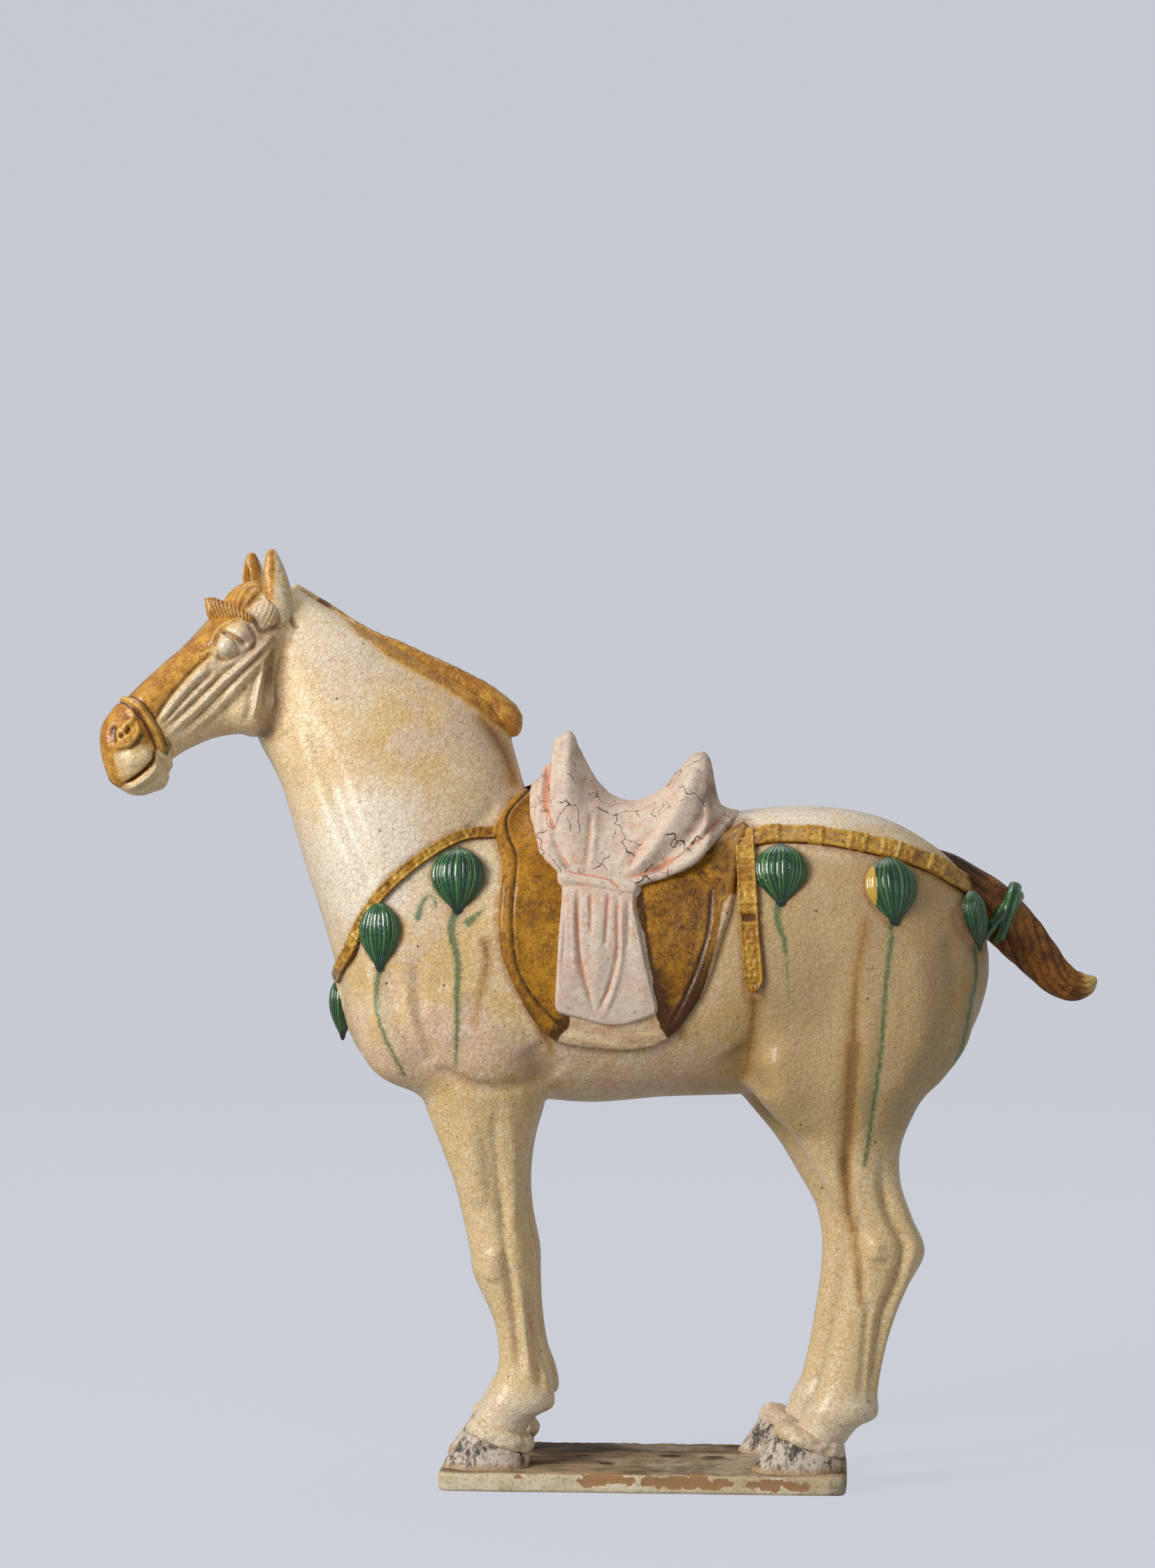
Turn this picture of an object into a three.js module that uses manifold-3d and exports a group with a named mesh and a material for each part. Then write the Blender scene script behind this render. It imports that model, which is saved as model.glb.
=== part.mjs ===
// A saddled horse in three-colour glazed earthenware, fired in one piece with the slab under its hooves.
// Millimetres, +Z up. The horse faces -X and turns its head to its left, which is -Y.
// The origin is the centre of the slab's underside.
import * as THREE from "three";
import { mergeVertices } from "three/addons/utils/BufferGeometryUtils.js";
import Module from "manifold-3d";

const wasm = await Module();
wasm.setup();

// Driving dimensions
const SLAB = { length: 240, width: 106, thickness: 11.5, corner: 6, bevel: 1.5 };
const LEG_SPREAD = 30; // from the middle plane to the middle of a hoof
const FAR_FORELEG_BACK = -2; // the two legs of a pair don't stand quite level
const FAR_HINDLEG_LEAN = [-6, -0.05]; // shift at the floor, and its growth with height
const FAR_HIND_HOOF_FORWARD = 10;
const HEAD_TURN = THREE.MathUtils.degToRad(28);
const HEAD_PIVOT_X = -208.5;
const HEAD_ORIGIN = new THREE.Vector3(-223.5, -4, 507); // a point inside the poll
const HEAD_SLOPE = THREE.MathUtils.degToRad(38.1); // the head's long axis below the level
const EAR_SPREAD = 18.5;
const FLAP_RELIEF = 3;
const STRAP_RELIEF = 2.6;
const STRAP_WIDTH = 8;
const TASSEL = { height: 42, radius: 15.5, flatness: 0.62 };
const TAIL_STRANDS = 4;
const TAIL_TWIST = 5.5; // radians over the tail's length

// A station is one cross-section of a form:
// [place on the axis, highest, lowest, where it is widest, half-width, sideways shift, squareness]
const TRUNK = [
  [-180.5, 293.5, 275.5, 284.5, 10, 0, 2],
  [-175.5, 306.5, 261.5, 283.5, 31, 0, 2],
  [-166.5, 327.5, 249, 285.5, 46, 0, 2],
  [-153, 347, 239.5, 288, 56, 0, 2.1],
  [-132, 370, 233, 291.5, 63, 0, 2.2],
  [-103, 390, 230, 296, 66, 0, 2.2],
  [-68.5, 400, 228, 298, 66, 0, 2.2],
  [-31, 395, 225.5, 299, 66, 0, 2.2],
  [11, 393, 229, 300, 67, 0, 2.2],
  [53, 399.5, 230.5, 303.5, 69, 0, 2.1],
  [82.5, 402.5, 232.5, 309.5, 71, 0, 2.1],
  [115.5, 401.5, 237, 314.5, 72, 0, 2.1],
  [145, 394.5, 241, 316.5, 69, 0, 2],
  [169.5, 381, 249, 315.5, 60, 0, 2],
  [188, 365.5, 260, 311.5, 47, 0, 2],
  [197.5, 346.5, 276, 309, 33, 0, 2],
  [202.5, 327.5, 291, 308, 19, 0, 2],
  [204.5, 316, 301, 308, 8, 0, 2],
];
const NECK = [
  [534.5, -210, -222, -216, 8, -3, 2],
  [524, -193.5, -232, -214, 17, -4, 2],
  [511.5, -172.5, -238, -209, 23, -5, 2],
  [496.5, -144, -240, -198, 28, -5, 2],
  [482, -118, -240, -187, 31.5, -4, 2],
  [467, -94.5, -239, -177.5, 35, -3, 2],
  [452, -82.5, -236.5, -171.5, 38.5, -2, 2],
  [439.5, -80, -232, -167.5, 42, -1, 2],
  [418.5, -74.5, -221, -159, 47, 0, 2],
  [397.5, -72.5, -214, -154, 52, 0, 2],
  [366, -77, -204.5, -150, 57, 0, 2],
  [334, -85.5, -194, -148, 59, 0, 2],
  [302.5, -98, -184.5, -147, 56, 0, 2],
  [285.5, -115.5, -175.5, -149, 46, 0, 2],
];
const MANE = [
  [-211.5, 533.5, 518.5, 526.5, 3, -3, 3],
  [-200, 526.5, 511.5, 519.5, 4, -4, 3],
  [-174.5, 514, 496.5, 505.5, 5, -5, 3],
  [-149, 502.5, 483, 493.5, 6, -5, 3],
  [-124, 491, 469, 480, 7, -4, 3],
  [-98, 478.5, 453, 466, 7.5, -3, 3],
  [-84.5, 469, 447, 458, 8.5, -2, 2.4],
  [-77, 462.5, 446, 454, 7, -2, 2],
  [-74, 457.5, 450, 453.5, 3, -2, 2],
];
const FORELEG = [
  [267.5, -73, -150, -113.5, 22, -34, 2],
  [251.5, -63, -143.5, -106.5, 27, -34.5, 2],
  [238, -59.5, -133, -99.5, 26.5, -34.5, 2],
  [221.5, -61.5, -127.5, -95.5, 24, -34, 2.1],
  [201, -67, -119.5, -93.5, 20.5, -33, 2.2],
  [180, -69.5, -112, -90.5, 17.5, -32, 2.2],
  [159.5, -68.5, -107, -87.5, 16, -31, 2.2],
  [139, -64.5, -102.5, -85.5, 17, -30.5, 2.2],
  [128.5, -63.5, -101.5, -83.5, 16.5, -30, 2.2],
  [118, -63.5, -97.5, -81.5, 14.5, -30, 2.2],
  [97.5, -62.5, -88.5, -76.5, 12, -30, 2.2],
  [77, -59.5, -85.5, -73, 12, -30, 2.2],
  [62.5, -54.5, -88, -72, 13.5, -30, 2.2],
  [52, -54, -93.5, -75.5, 15.5, -30, 2.2],
  [39.5, -65, -100.5, -83.5, 15, -30, 2],
  [26.5, -72.5, -104.5, -88.5, 14, -30, 2],
];
const HINDLEG = [
  [305.5, 176, 88.5, 133.5, 26, -36, 2],
  [284.5, 188, 78.5, 135.5, 31, -37, 2],
  [264.5, 189, 72, 131.5, 33, -37, 2],
  [243.5, 176.5, 67, 123.5, 32, -36, 2],
  [233.5, 167, 69.5, 119.5, 30, -36, 2],
  [223, 160, 77.5, 119.5, 27, -36, 2],
  [202.5, 152, 93.5, 122.5, 22.5, -35, 2.1],
  [181.5, 152, 105.5, 128.5, 19, -34, 2.2],
  [161.5, 158.5, 115.5, 136.5, 16.5, -33, 2.2],
  [141, 166, 118.5, 138.5, 16.5, -32, 2.1],
  [120, 156, 116.5, 135.5, 14.5, -31, 2.2],
  [99.5, 147.5, 112.5, 129.5, 13, -30.5, 2.2],
  [79, 142, 108, 124.5, 12.5, -30, 2.2],
  [58.5, 138.5, 102, 119.5, 14, -30, 2.2],
  [47, 137, 95.5, 115.5, 16, -30, 2.2],
  [35.5, 124.5, 90.5, 106.5, 15, -30, 2],
  [26.5, 118.5, 87, 101.5, 14, -30, 2],
];
// Along the head: from the poll down to the lips
const HEAD = [
  [-16, 23.5, 6, 15, 9, 0, 2],
  [-8, 28.5, -6, 14, 18, 0, 2.2],
  [3, 33, -10, 13, 22, 0, 2.4],
  [19.5, 35.5, -17, 12, 24, 0, 2.5],
  [33, 32, -27, 11, 24, 0, 2.5],
  [45, 30.5, -37.5, 10, 21.5, 0, 2.4],
  [51, 30, -39.5, 9, 19.5, 0, 2.4],
  [56.5, 29.5, -33.5, 9, 18.5, 0, 2.5],
  [63, 29.5, -29, 9, 17.5, 0, 2.5],
  [73, 29, -24, 9, 15.5, 0, 2.5],
  [85, 28.5, -20.5, 8.5, 14.5, 0, 2.5],
  [96, 27.5, -18.5, 8, 14, 0, 2.5],
  [103, 28, -19.5, 6, 14, 0, 2.4],
  [109, 27.5, -25.5, 3, 15.5, 0, 2.3],
  [115, 26, -28.5, 0, 16.5, 0, 2.2],
  [121.5, 23.5, -26.5, -1, 15.5, 0, 2.2],
  [128, 17.5, -24, -2, 12.5, 0, 2.1],
  [133.5, 8, -18.5, -4, 8.5, 0, 2],
  [137.5, -3, -9, -5.5, 3.5, 0, 2],
];
// Along an ear, upright: [height, back, front, widest, half-width]
const EAR = [
  [510, -222, -236, -229, 5.5, 0, 2],
  [522, -220.5, -238, -229.5, 7, 0, 2],
  [532, -221.5, -239, -230.5, 6.5, 0, 2],
  [543, -225, -239, -232, 5, 0, 2],
  [551, -228.5, -237.5, -233, 3.5, 0, 2],
  [556, -231.5, -235.5, -233.5, 1.5, 0, 2],
];
const SADDLE = [
  [-76.5, 412, 250, 299, 55, 0, 2],
  [-67.5, 420, 250, 299, 64, 0, 1.9],
  [-59.5, 432, 250, 299, 70, 0, 1.75],
  [-51.5, 444, 250, 299, 72, 0, 1.65],
  [-45, 447.5, 250, 299, 72, 0, 1.65],
  [-39.5, 437.5, 250, 299, 72, 0, 1.75],
  [-31.5, 422, 250, 299, 72, 0, 1.9],
  [-21.5, 410.5, 250, 299, 72, 0, 2.05],
  [-9.5, 406.5, 250, 299, 72.5, 0, 2.1],
  [2.5, 409, 250, 300, 73, 0, 2.05],
  [13.5, 417, 250.5, 301, 73.5, 0, 1.95],
  [23.5, 429, 250.5, 302, 74, 0, 1.85],
  [31.5, 435, 250.5, 303.5, 74, 0, 1.8],
  [38.5, 431.5, 250.5, 303.5, 74, 0, 1.85],
  [43, 409, 250.5, 303.5, 74, 0, 2],
  [47.5, 402.5, 250.5, 303.5, 73, 0, 2.1],
  [57.5, 400, 250.5, 304.5, 70, 0, 2.1],
];

// Outlines on the horse's side, as x and z
const FLAP_OUTLINE = [
  [-65.5, 425], [-78.5, 407], [-84, 392], [-82, 374], [-83.5, 350], [-83, 325], [-77.5, 302],
  [-68.5, 286], [-49.5, 269], [-19.5, 260.5], [8.5, 264], [22.5, 273], [35.5, 295], [46.5, 325],
  [54.5, 355], [58.5, 385], [62.5, 425],
];
const SADDLE_OUTLINE = [
  [-93.5, 470], [-77.5, 424], [-69, 415], [-64.5, 397], [-57.5, 380.5], [-45, 364], [-37, 354],
  [-3, 350], [5, 358.5], [23, 365.5], [39.5, 378], [54, 392], [59.5, 401], [64.5, 410],
  [76.5, 470],
];
const KNOT_OUTLINE = [[-46, 366], [-46, 353], [-2, 344], [1, 357]];
const CRUPPER_LINE = [
  [49.5, 381.5], [81.5, 385], [107.5, 383.5], [131.5, 379.5], [155.5, 372.5], [177.5, 362],
  [195.5, 350],
];
const HANGING_STRAP_LINE = [[60, 384], [62.5, 359], [64.5, 330], [67, 303], [68, 296]];
const BREAST_LINE = [
  [-84.5, 387], [-106.5, 382.5], [-128.5, 370], [-148, 353], [-159.5, 341], [-169.5, 323],
  [-179, 306], [-185, 296],
];
const HANGING_STRAP_WIDTH = 11;

// The hanging saddlecloth: its top and bottom edges, and the folds between them
const CLOTH = {
  top: { z: 352, from: -43, to: -4 },
  bottom: { z: 277, from: -49, to: 11, sag: 3 },
  relief: 5.5,
  foldDepth: 1.7,
  folds: 4,
};

// Tassels on the horse's side as [x, z]. The first row hangs on both sides.
const SIDE_TASSELS = [[-153.5, 325], [-107.5, 359], [82, 362], [145.5, 353], [191, 333.5]];
const FRONT_TASSEL_Z = 281;
// Half-width of a tassel at heights from its tip up, as shares of its height and radius
const TASSEL_PROFILE = [
  [0.05, 0.16], [0.3, 0.62], [0.54, 0.97], [0.72, 0.98], [0.9, 0.62],
];

// The tail's middle line as [x, z, radius]
const TAIL = [
  [167.5, 366.5, 12], [179.5, 362.5, 12.5], [191.5, 354.5, 13.5], [202, 346.5, 15],
  [212.5, 336.5, 15.5], [223, 325.5, 14.5], [234.5, 312.5, 12.5], [244, 302, 10.8],
  [253.5, 296.5, 9.5], [262, 297, 7.2], [268.5, 300.5, 3.5],
];
const TAIL_TIE = { x: 214, z: 337.5, radius: 17, thickness: 3, tilts: [0.35, 0.75] };

// Helpers

// A closed three.js geometry as a solid, turned right side out.
function solidOf(geometry) {
  const bare = geometry.index ? geometry.toNonIndexed() : geometry.clone();
  for (const name of Object.keys(bare.attributes)) {
    if (name !== "position") bare.deleteAttribute(name);
  }
  const merged = mergeVertices(bare, 1e-3);
  const triVerts = new Uint32Array(merged.index.array);
  const vertProperties = merged.attributes.position.array;
  const made = new wasm.Manifold(new wasm.Mesh({ numProp: 3, vertProperties, triVerts }));
  if (made.volume() > 0) return made;
  for (let i = 0; i < triVerts.length; i += 3) {
    [triVerts[i + 1], triVerts[i + 2]] = [triVerts[i + 2], triVerts[i + 1]];
  }
  return new wasm.Manifold(new wasm.Mesh({ numProp: 3, vertProperties, triVerts }));
}

function geometryOf(solid) {
  const mesh = solid.getMesh();
  return new THREE.BufferGeometry()
    .setAttribute("position", new THREE.BufferAttribute(mesh.vertProperties, 3))
    .setIndex(new THREE.BufferAttribute(mesh.triVerts, 1));
}

const joined = (solids) => solids.reduce((sum, next) => sum.add(next));

// The outer body alone, with any pocket sealed inside it filled.
const filled = (solid) =>
  solid.decompose().reduce((best, next) => (next.volume() > best.volume() ? next : best));

// Catmull-Rom between rows of numbers, with share from 0 at the first row to 1 at the last.
function between(rows, share) {
  const place = share * (rows.length - 1);
  const i = Math.min(Math.floor(place), rows.length - 2);
  const f = place - i;
  const row = (k) => rows[Math.min(Math.max(k, 0), rows.length - 1)];
  return rows[i].map((_, c) => {
    const [a, b, d, e] = [row(i - 1)[c], row(i)[c], row(i + 1)[c], row(i + 2)[c]];
    return b + 0.5 * f * (d - a + f * (2 * a - 5 * b + 4 * d - e + f * (3 * (b - d) + e - a)));
  });
}

// The station of a form at a given place on its axis.
function stationAt(stations, at) {
  const rising = stations.at(-1)[0] > stations[0][0];
  let [low, high] = [0, 1];
  for (let i = 0; i < 24; i++) {
    const middle = (low + high) / 2;
    if (between(stations, middle)[0] < at === rising) low = middle;
    else high = middle;
  }
  return between(stations, low);
}

const grown = (stations, by) =>
  stations.map(([at, high, low, wide, side, off, power]) => [
    at, high + by, low - by, wide, side + by, off, power,
  ]);

// A closed skin over rings of equally many points.
function skin(rings) {
  const sides = rings[0].length;
  const points = rings.flat();
  const faces = [];
  for (let i = 0; i + 1 < rings.length; i++) {
    for (let j = 0; j < sides; j++) {
      const k = (j + 1) % sides;
      const [a, b, c, d] = [i * sides + j, i * sides + k, (i + 1) * sides + k, (i + 1) * sides + j];
      faces.push(a, b, c, a, c, d);
    }
  }
  for (const [first, last] of [[0, false], [(rings.length - 1) * sides, true]]) {
    const middle = new THREE.Vector3();
    for (let j = 0; j < sides; j++) middle.add(points[first + j]);
    points.push(middle.divideScalar(sides));
    for (let j = 0; j < sides; j++) {
      const [a, b] = [first + j, first + ((j + 1) % sides)];
      faces.push(...(last ? [a, b, points.length - 1] : [b, a, points.length - 1]));
    }
  }
  return new THREE.BufferGeometry().setFromPoints(points).setIndex(faces);
}

// Rings round a station. put turns place on the axis, height and side into a point.
function ringOf([at, high, low, wide, side, off, power], put, sides) {
  const bulge = (v) => Math.sign(v) * Math.abs(v) ** (2 / power);
  return Array.from({ length: sides }, (_, j) => {
    const angle = (2 * Math.PI * (j + 0.5)) / sides;
    const up = bulge(Math.sin(angle));
    const reach = up > 0 ? high - wide : wide - low;
    return put(at, wide + up * reach, off + bulge(Math.cos(angle)) * side);
  });
}

function loft(stations, put, steps, sides) {
  const rings = [];
  for (let i = 0; i <= steps; i++) rings.push(ringOf(between(stations, i / steps), put, sides));
  return solidOf(skin(rings));
}

const alongX = (at, high, side) => new THREE.Vector3(at, side, high);
const alongZ = (at, high, side) => new THREE.Vector3(high, side, at);
// The other leg of a pair, shifted along X by an amount that grows with height.
const mirrored = (stations, [shift, lean]) =>
  stations.map(([at, high, low, wide, side, off, power]) => {
    const by = shift + lean * at;
    return [at, high + by, low + by, wide + by, side, -off, power];
  });

const HEAD_FRAME = new THREE.Matrix4()
  .makeTranslation(HEAD_PIVOT_X, 0, 0)
  .multiply(new THREE.Matrix4().makeRotationZ(HEAD_TURN))
  .multiply(new THREE.Matrix4().makeTranslation(-HEAD_PIVOT_X, 0, 0));
const headPlace = new THREE.Matrix4()
  .makeBasis(
    new THREE.Vector3(-Math.cos(HEAD_SLOPE), 0, -Math.sin(HEAD_SLOPE)),
    new THREE.Vector3(-Math.sin(HEAD_SLOPE), 0, Math.cos(HEAD_SLOPE)),
    new THREE.Vector3(0, 1, 0),
  )
  .setPosition(HEAD_ORIGIN)
  .premultiply(HEAD_FRAME);
const onHead = (at, high, side) => new THREE.Vector3(at, high, side).applyMatrix4(headPlace);

// A flat outline on the horse's side, pushed right through it along Y.
function prism(outline, from = -120, to = 120) {
  const shape = new THREE.Shape(outline.map(([x, z]) => new THREE.Vector2(x, z)));
  const cut = new THREE.ExtrudeGeometry(shape, { depth: to - from, bevelEnabled: false });
  return solidOf(cut.rotateX(Math.PI / 2).translate(0, to, 0));
}

const smoothOutline = (points, closed, count) =>
  new THREE.CatmullRomCurve3(points.map(([x, z]) => new THREE.Vector3(x, z, 0)), closed, "centripetal")
    .getSpacedPoints(count)
    .map((p) => [p.x, p.y]);

// The outline of a band of even width along a line, with a pointed far end if asked.
function bandOutline(line, width, count, pointed = false) {
  const middle = smoothOutline(line, false, count);
  const normal = (i) => {
    const [a, b] = [middle[Math.max(i - 1, 0)], middle[Math.min(i + 1, middle.length - 1)]];
    const length = Math.hypot(b[0] - a[0], b[1] - a[1]);
    return [-(b[1] - a[1]) / length, (b[0] - a[0]) / length];
  };
  const edge = (sign) =>
    middle.map(([x, z], i) => {
      const narrow = pointed && i === middle.length - 1 ? 0.15 : 0.5;
      return [x + sign * narrow * width * normal(i)[0], z + sign * narrow * width * normal(i)[1]];
    });
  return [...edge(1), ...edge(-1).reverse()];
}

// How far the trunk reaches to the side at a point of its side view.
function flankAt(x, z) {
  const [, high, low, wide, side, , power] = stationAt(TRUNK, x);
  const share = Math.abs(z - wide) / (z > wide ? high - wide : wide - low);
  return share < 1 ? side * (1 - share ** power) ** (1 / power) : 0;
}

// Body parts

function slab() {
  const [l, w, r] = [SLAB.length / 2 - SLAB.bevel, SLAB.width / 2 - SLAB.bevel, SLAB.corner];
  const shape = new THREE.Shape()
    .moveTo(-l + r, -w)
    .lineTo(l - r, -w)
    .absarc(l - r, -w + r, r, -Math.PI / 2, 0)
    .lineTo(l, w - r)
    .absarc(l - r, w - r, r, 0, Math.PI / 2)
    .lineTo(-l + r, w)
    .absarc(-l + r, w - r, r, Math.PI / 2, Math.PI)
    .lineTo(-l, -w + r)
    .absarc(-l + r, -w + r, r, Math.PI, 1.5 * Math.PI);
  const plate = new THREE.ExtrudeGeometry(shape, {
    depth: SLAB.thickness - 2 * SLAB.bevel,
    bevelThickness: SLAB.bevel,
    bevelSize: SLAB.bevel,
    bevelSegments: 1,
    curveSegments: 2,
  });
  return solidOf(plate.translate(0, 0, SLAB.bevel));
}

// A hoof is a wedge whose top slopes down to the heel. The roll of skin above it follows that slope.
function hoof(toe, heel, topFront, topBack, side, shift) {
  const floor = SLAB.thickness - 2;
  const [front, back] = [41, 26];
  const y = side * LEG_SPREAD;
  const sloped = (from, to, width, lift, spread) => {
    const ring = [];
    for (let j = 0; j < 11; j++) {
      const angle = (2 * Math.PI * j) / 11;
      const share = (1 - Math.cos(angle)) / 2;
      const x = from - spread + share * (to - from + 2 * spread);
      const z = lift === null ? floor : front + share * (back - front) + lift;
      ring.push(new THREE.Vector3(x + shift, y + Math.sin(angle) * (width + spread), z));
    }
    return ring;
  };
  const wedge = skin([sloped(toe, heel, 19, null, 0), sloped(topFront, topBack, 15.5, 0, 0)]);
  const roll = skin([
    sloped(topFront, topBack, 15.5, -1, 0.5),
    sloped(topFront + 2.5, topBack, 15.5, 2.5, 2.2),
    sloped(topFront + 5, topBack - 1, 15, 7, 1),
  ]);
  return solidOf(wedge).add(solidOf(roll));
}

function legs() {
  const made = [];
  for (const side of [-1, 1]) {
    const [foreShift, hindShift] = side < 0 ? [0, 0] : [FAR_FORELEG_BACK, -FAR_HIND_HOOF_FORWARD];
    const fore = side < 0 ? FORELEG : mirrored(FORELEG, [FAR_FORELEG_BACK, 0]);
    const hind = side < 0 ? HINDLEG : mirrored(HINDLEG, FAR_HINDLEG_LEAN);
    made.push(loft(fore, alongZ, 13, 9), loft(hind, alongZ, 14, 10));
    made.push(hoof(-119, -68, -101.5, -67.5, side, foreShift));
    made.push(hoof(64.5, 116.5, 81, 117, side, hindShift));
  }
  return joined(made);
}

function tail() {
  const rings = [];
  const steps = 15;
  for (let i = 0; i <= steps; i++) {
    const share = i / steps;
    const [x, z, radius] = between(TAIL, share);
    const [x1, z1] = between(TAIL, Math.max(share - 0.02, 0));
    const [x2, z2] = between(TAIL, Math.min(share + 0.02, 1));
    const along = new THREE.Vector2(x2 - x1, z2 - z1).normalize();
    const ring = [];
    for (let j = 0; j < 11; j++) {
      const angle = (2 * Math.PI * j) / 11;
      const strand = 1 + 0.09 * Math.cos(TAIL_STRANDS * (angle - TAIL_TWIST * share));
      const [up, out] = [Math.sin(angle) * radius * strand, Math.cos(angle) * radius * strand * 0.9];
      ring.push(new THREE.Vector3(x - along.y * up, out, z + along.x * up));
    }
    rings.push(ring);
  }
  const ties = TAIL_TIE.tilts.map((tilt) =>
    solidOf(
      new THREE.TorusGeometry(TAIL_TIE.radius, TAIL_TIE.thickness, 4, 12)
        .rotateY(Math.PI / 2)
        .rotateY(tilt)
        .translate(TAIL_TIE.x, 0, TAIL_TIE.z),
    ),
  );
  return joined([solidOf(skin(rings)), ...ties]);
}

// Head

// A ball stretched to three half-sizes, placed in the head's own frame and turned within its side view.
function headLump(at, high, side, [along, up, out], turn = 0) {
  const ball = new THREE.SphereGeometry(1, 8, 5).scale(along, up, out).rotateZ(turn);
  return solidOf(ball.translate(at, high, side).applyMatrix4(headPlace));
}

function headPrism(outline) {
  const shape = new THREE.Shape(outline.map(([at, high]) => new THREE.Vector2(at, high)));
  const cut = new THREE.ExtrudeGeometry(shape, { depth: 120, bevelEnabled: false });
  return solidOf(cut.translate(0, 0, -60).applyMatrix4(headPlace));
}

function ears() {
  return [-1, 1].map((side) => {
    const put = (at, high, across) =>
      new THREE.Vector3(high, side * EAR_SPREAD + across, at).applyMatrix4(HEAD_FRAME);
    return loft(EAR, put, 6, 9);
  });
}

function head() {
  const noseband = grown([101, 104, 107].map((at) => stationAt(HEAD, at)), 1.8);
  const made = [loft(HEAD, onHead, 20, 16), loft(noseband, onHead, 1, 14), ...ears()];
  made.push(headLump(21, 37.5, -3, [5, 6.5, 15], -0.5));
  for (const side of [-1, 1]) {
    made.push(headLump(32, 15, side * 21.5, [5.5, 5.5, 5.5]));
    made.push(headLump(27, 20, side * 19.5, [12, 8, 6.5], -0.3));
    made.push(headLump(-4, 14, side * 17, [10, 8, 8], -0.5));
    made.push(headLump(113, 8, side * 13, [7, 8, 6]));
  }
  return joined(made);
}

// Trappings

function tassel(x, z, side) {
  const { height, radius, flatness } = TASSEL;
  const profile = TASSEL_PROFILE.map(
    ([up, out]) => new THREE.Vector2(out * radius, (up - 0.5) * height),
  );
  const ends = [new THREE.Vector2(0, -height / 2), new THREE.Vector2(0, height / 2)];
  const bulb = new THREE.LatheGeometry([ends[0], ...profile, ends[1]], 9).scale(1, 1, flatness);
  const step = 2;
  const point = new THREE.Vector3(x, side * flankAt(x, z), z);
  const slope = (dx, dz) => (flankAt(x + dx, z + dz) - flankAt(x - dx, z - dz)) / (2 * step);
  const out = side
    ? new THREE.Vector3(-slope(step, 0), side, -slope(0, step) * 0.6).normalize()
    : new THREE.Vector3(-1, 0, 0);
  const up = new THREE.Vector3(0, 0, 1).addScaledVector(out, -out.z).normalize();
  const across = new THREE.Vector3().crossVectors(up, out);
  const frame = new THREE.Matrix4().makeBasis(across, up, out).setPosition(point);
  return solidOf(bulb.applyMatrix4(frame));
}

function tassels() {
  const made = [tassel(TRUNK[0][0] + 1, FRONT_TASSEL_Z, 0)];
  for (const [x, z] of SIDE_TASSELS) made.push(tassel(x, z, -1), tassel(x, z, 1));
  return joined(made);
}

function straps() {
  const band = (line, width, pointed) => prism(bandOutline(line, width, 8, pointed));
  const trunk = loft(grown(TRUNK, STRAP_RELIEF), alongX, 20, 22);
  const neck = loft(grown(NECK, STRAP_RELIEF), alongZ, 12, 16);
  return joined([
    trunk.intersect(band(CRUPPER_LINE, STRAP_WIDTH, false)),
    trunk.intersect(band(HANGING_STRAP_LINE, HANGING_STRAP_WIDTH, true)),
    trunk.add(neck).intersect(band(BREAST_LINE, STRAP_WIDTH, false)),
  ]);
}

function saddle() {
  const seat = loft(SADDLE, alongX, 20, 20).intersect(prism(SADDLE_OUTLINE));
  const trunk = (by) => loft(grown(TRUNK, by), alongX, 20, 22);
  const trunkAndNeck = trunk(FLAP_RELIEF).add(loft(grown(NECK, FLAP_RELIEF), alongZ, 12, 16));
  const flaps = trunkAndNeck.intersect(prism(smoothOutline(FLAP_OUTLINE, true, 24)));
  const knot = trunk(9).intersect(prism(KNOT_OUTLINE));
  return joined([seat, flaps, knot]);
}

// The cloth that hangs from the knot on one side, gathered into upright folds.
function hangingCloth(side) {
  const { top, bottom, relief, foldDepth, folds } = CLOTH;
  const [rows, columns] = [4, 12];
  const rings = [];
  for (let i = 0; i <= columns; i++) {
    const across = i / columns;
    const fold = foldDepth * Math.cos(2 * Math.PI * folds * across);
    const edge = i === 0 || i === columns ? 0.55 : 1;
    const ring = [];
    for (const outer of [true, false]) {
      for (let j = 0; j <= rows; j++) {
        const down = outer ? j / rows : 1 - j / rows;
        const sag = bottom.sag * Math.sin(Math.PI * across) * down;
        const z = top.z + (bottom.z - top.z) * down - sag;
        const from = top.from + (bottom.from - top.from) * down;
        const to = top.to + (bottom.to - top.to) * down;
        const x = from + (to - from) * across;
        const rise = outer ? edge * (relief + fold * (1 - 0.6 * down)) : -5;
        ring.push(new THREE.Vector3(x, side * (flankAt(x, z) + rise), z));
      }
    }
    rings.push(ring);
  }
  return solidOf(skin(rings));
}

const horse = filled(joined([
  loft(TRUNK, alongX, 20, 22),
  loft(NECK, alongZ, 12, 16),
  loft(MANE, alongX, 9, 6),
  head(),
  legs(),
  slab(),
  tail(),
  saddle(),
  hangingCloth(-1),
  hangingCloth(1),
  straps(),
  tassels(),
]));

const cream = new THREE.MeshStandardMaterial({ color: 0xd9c7a0, roughness: 0.35, metalness: 0 });
const mesh = new THREE.Mesh(geometryOf(horse), cream);
mesh.name = "sancai_horse";

const group = new THREE.Group();
group.add(mesh);

export default group;
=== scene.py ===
"""A saddled horse in three-colour glazed earthenware on a slab.

Shapes are worked out in millimetres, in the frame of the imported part: the horse faces -X,
its left side is -Y, and the origin is the middle of the slab's underside.
"""

import math

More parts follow.
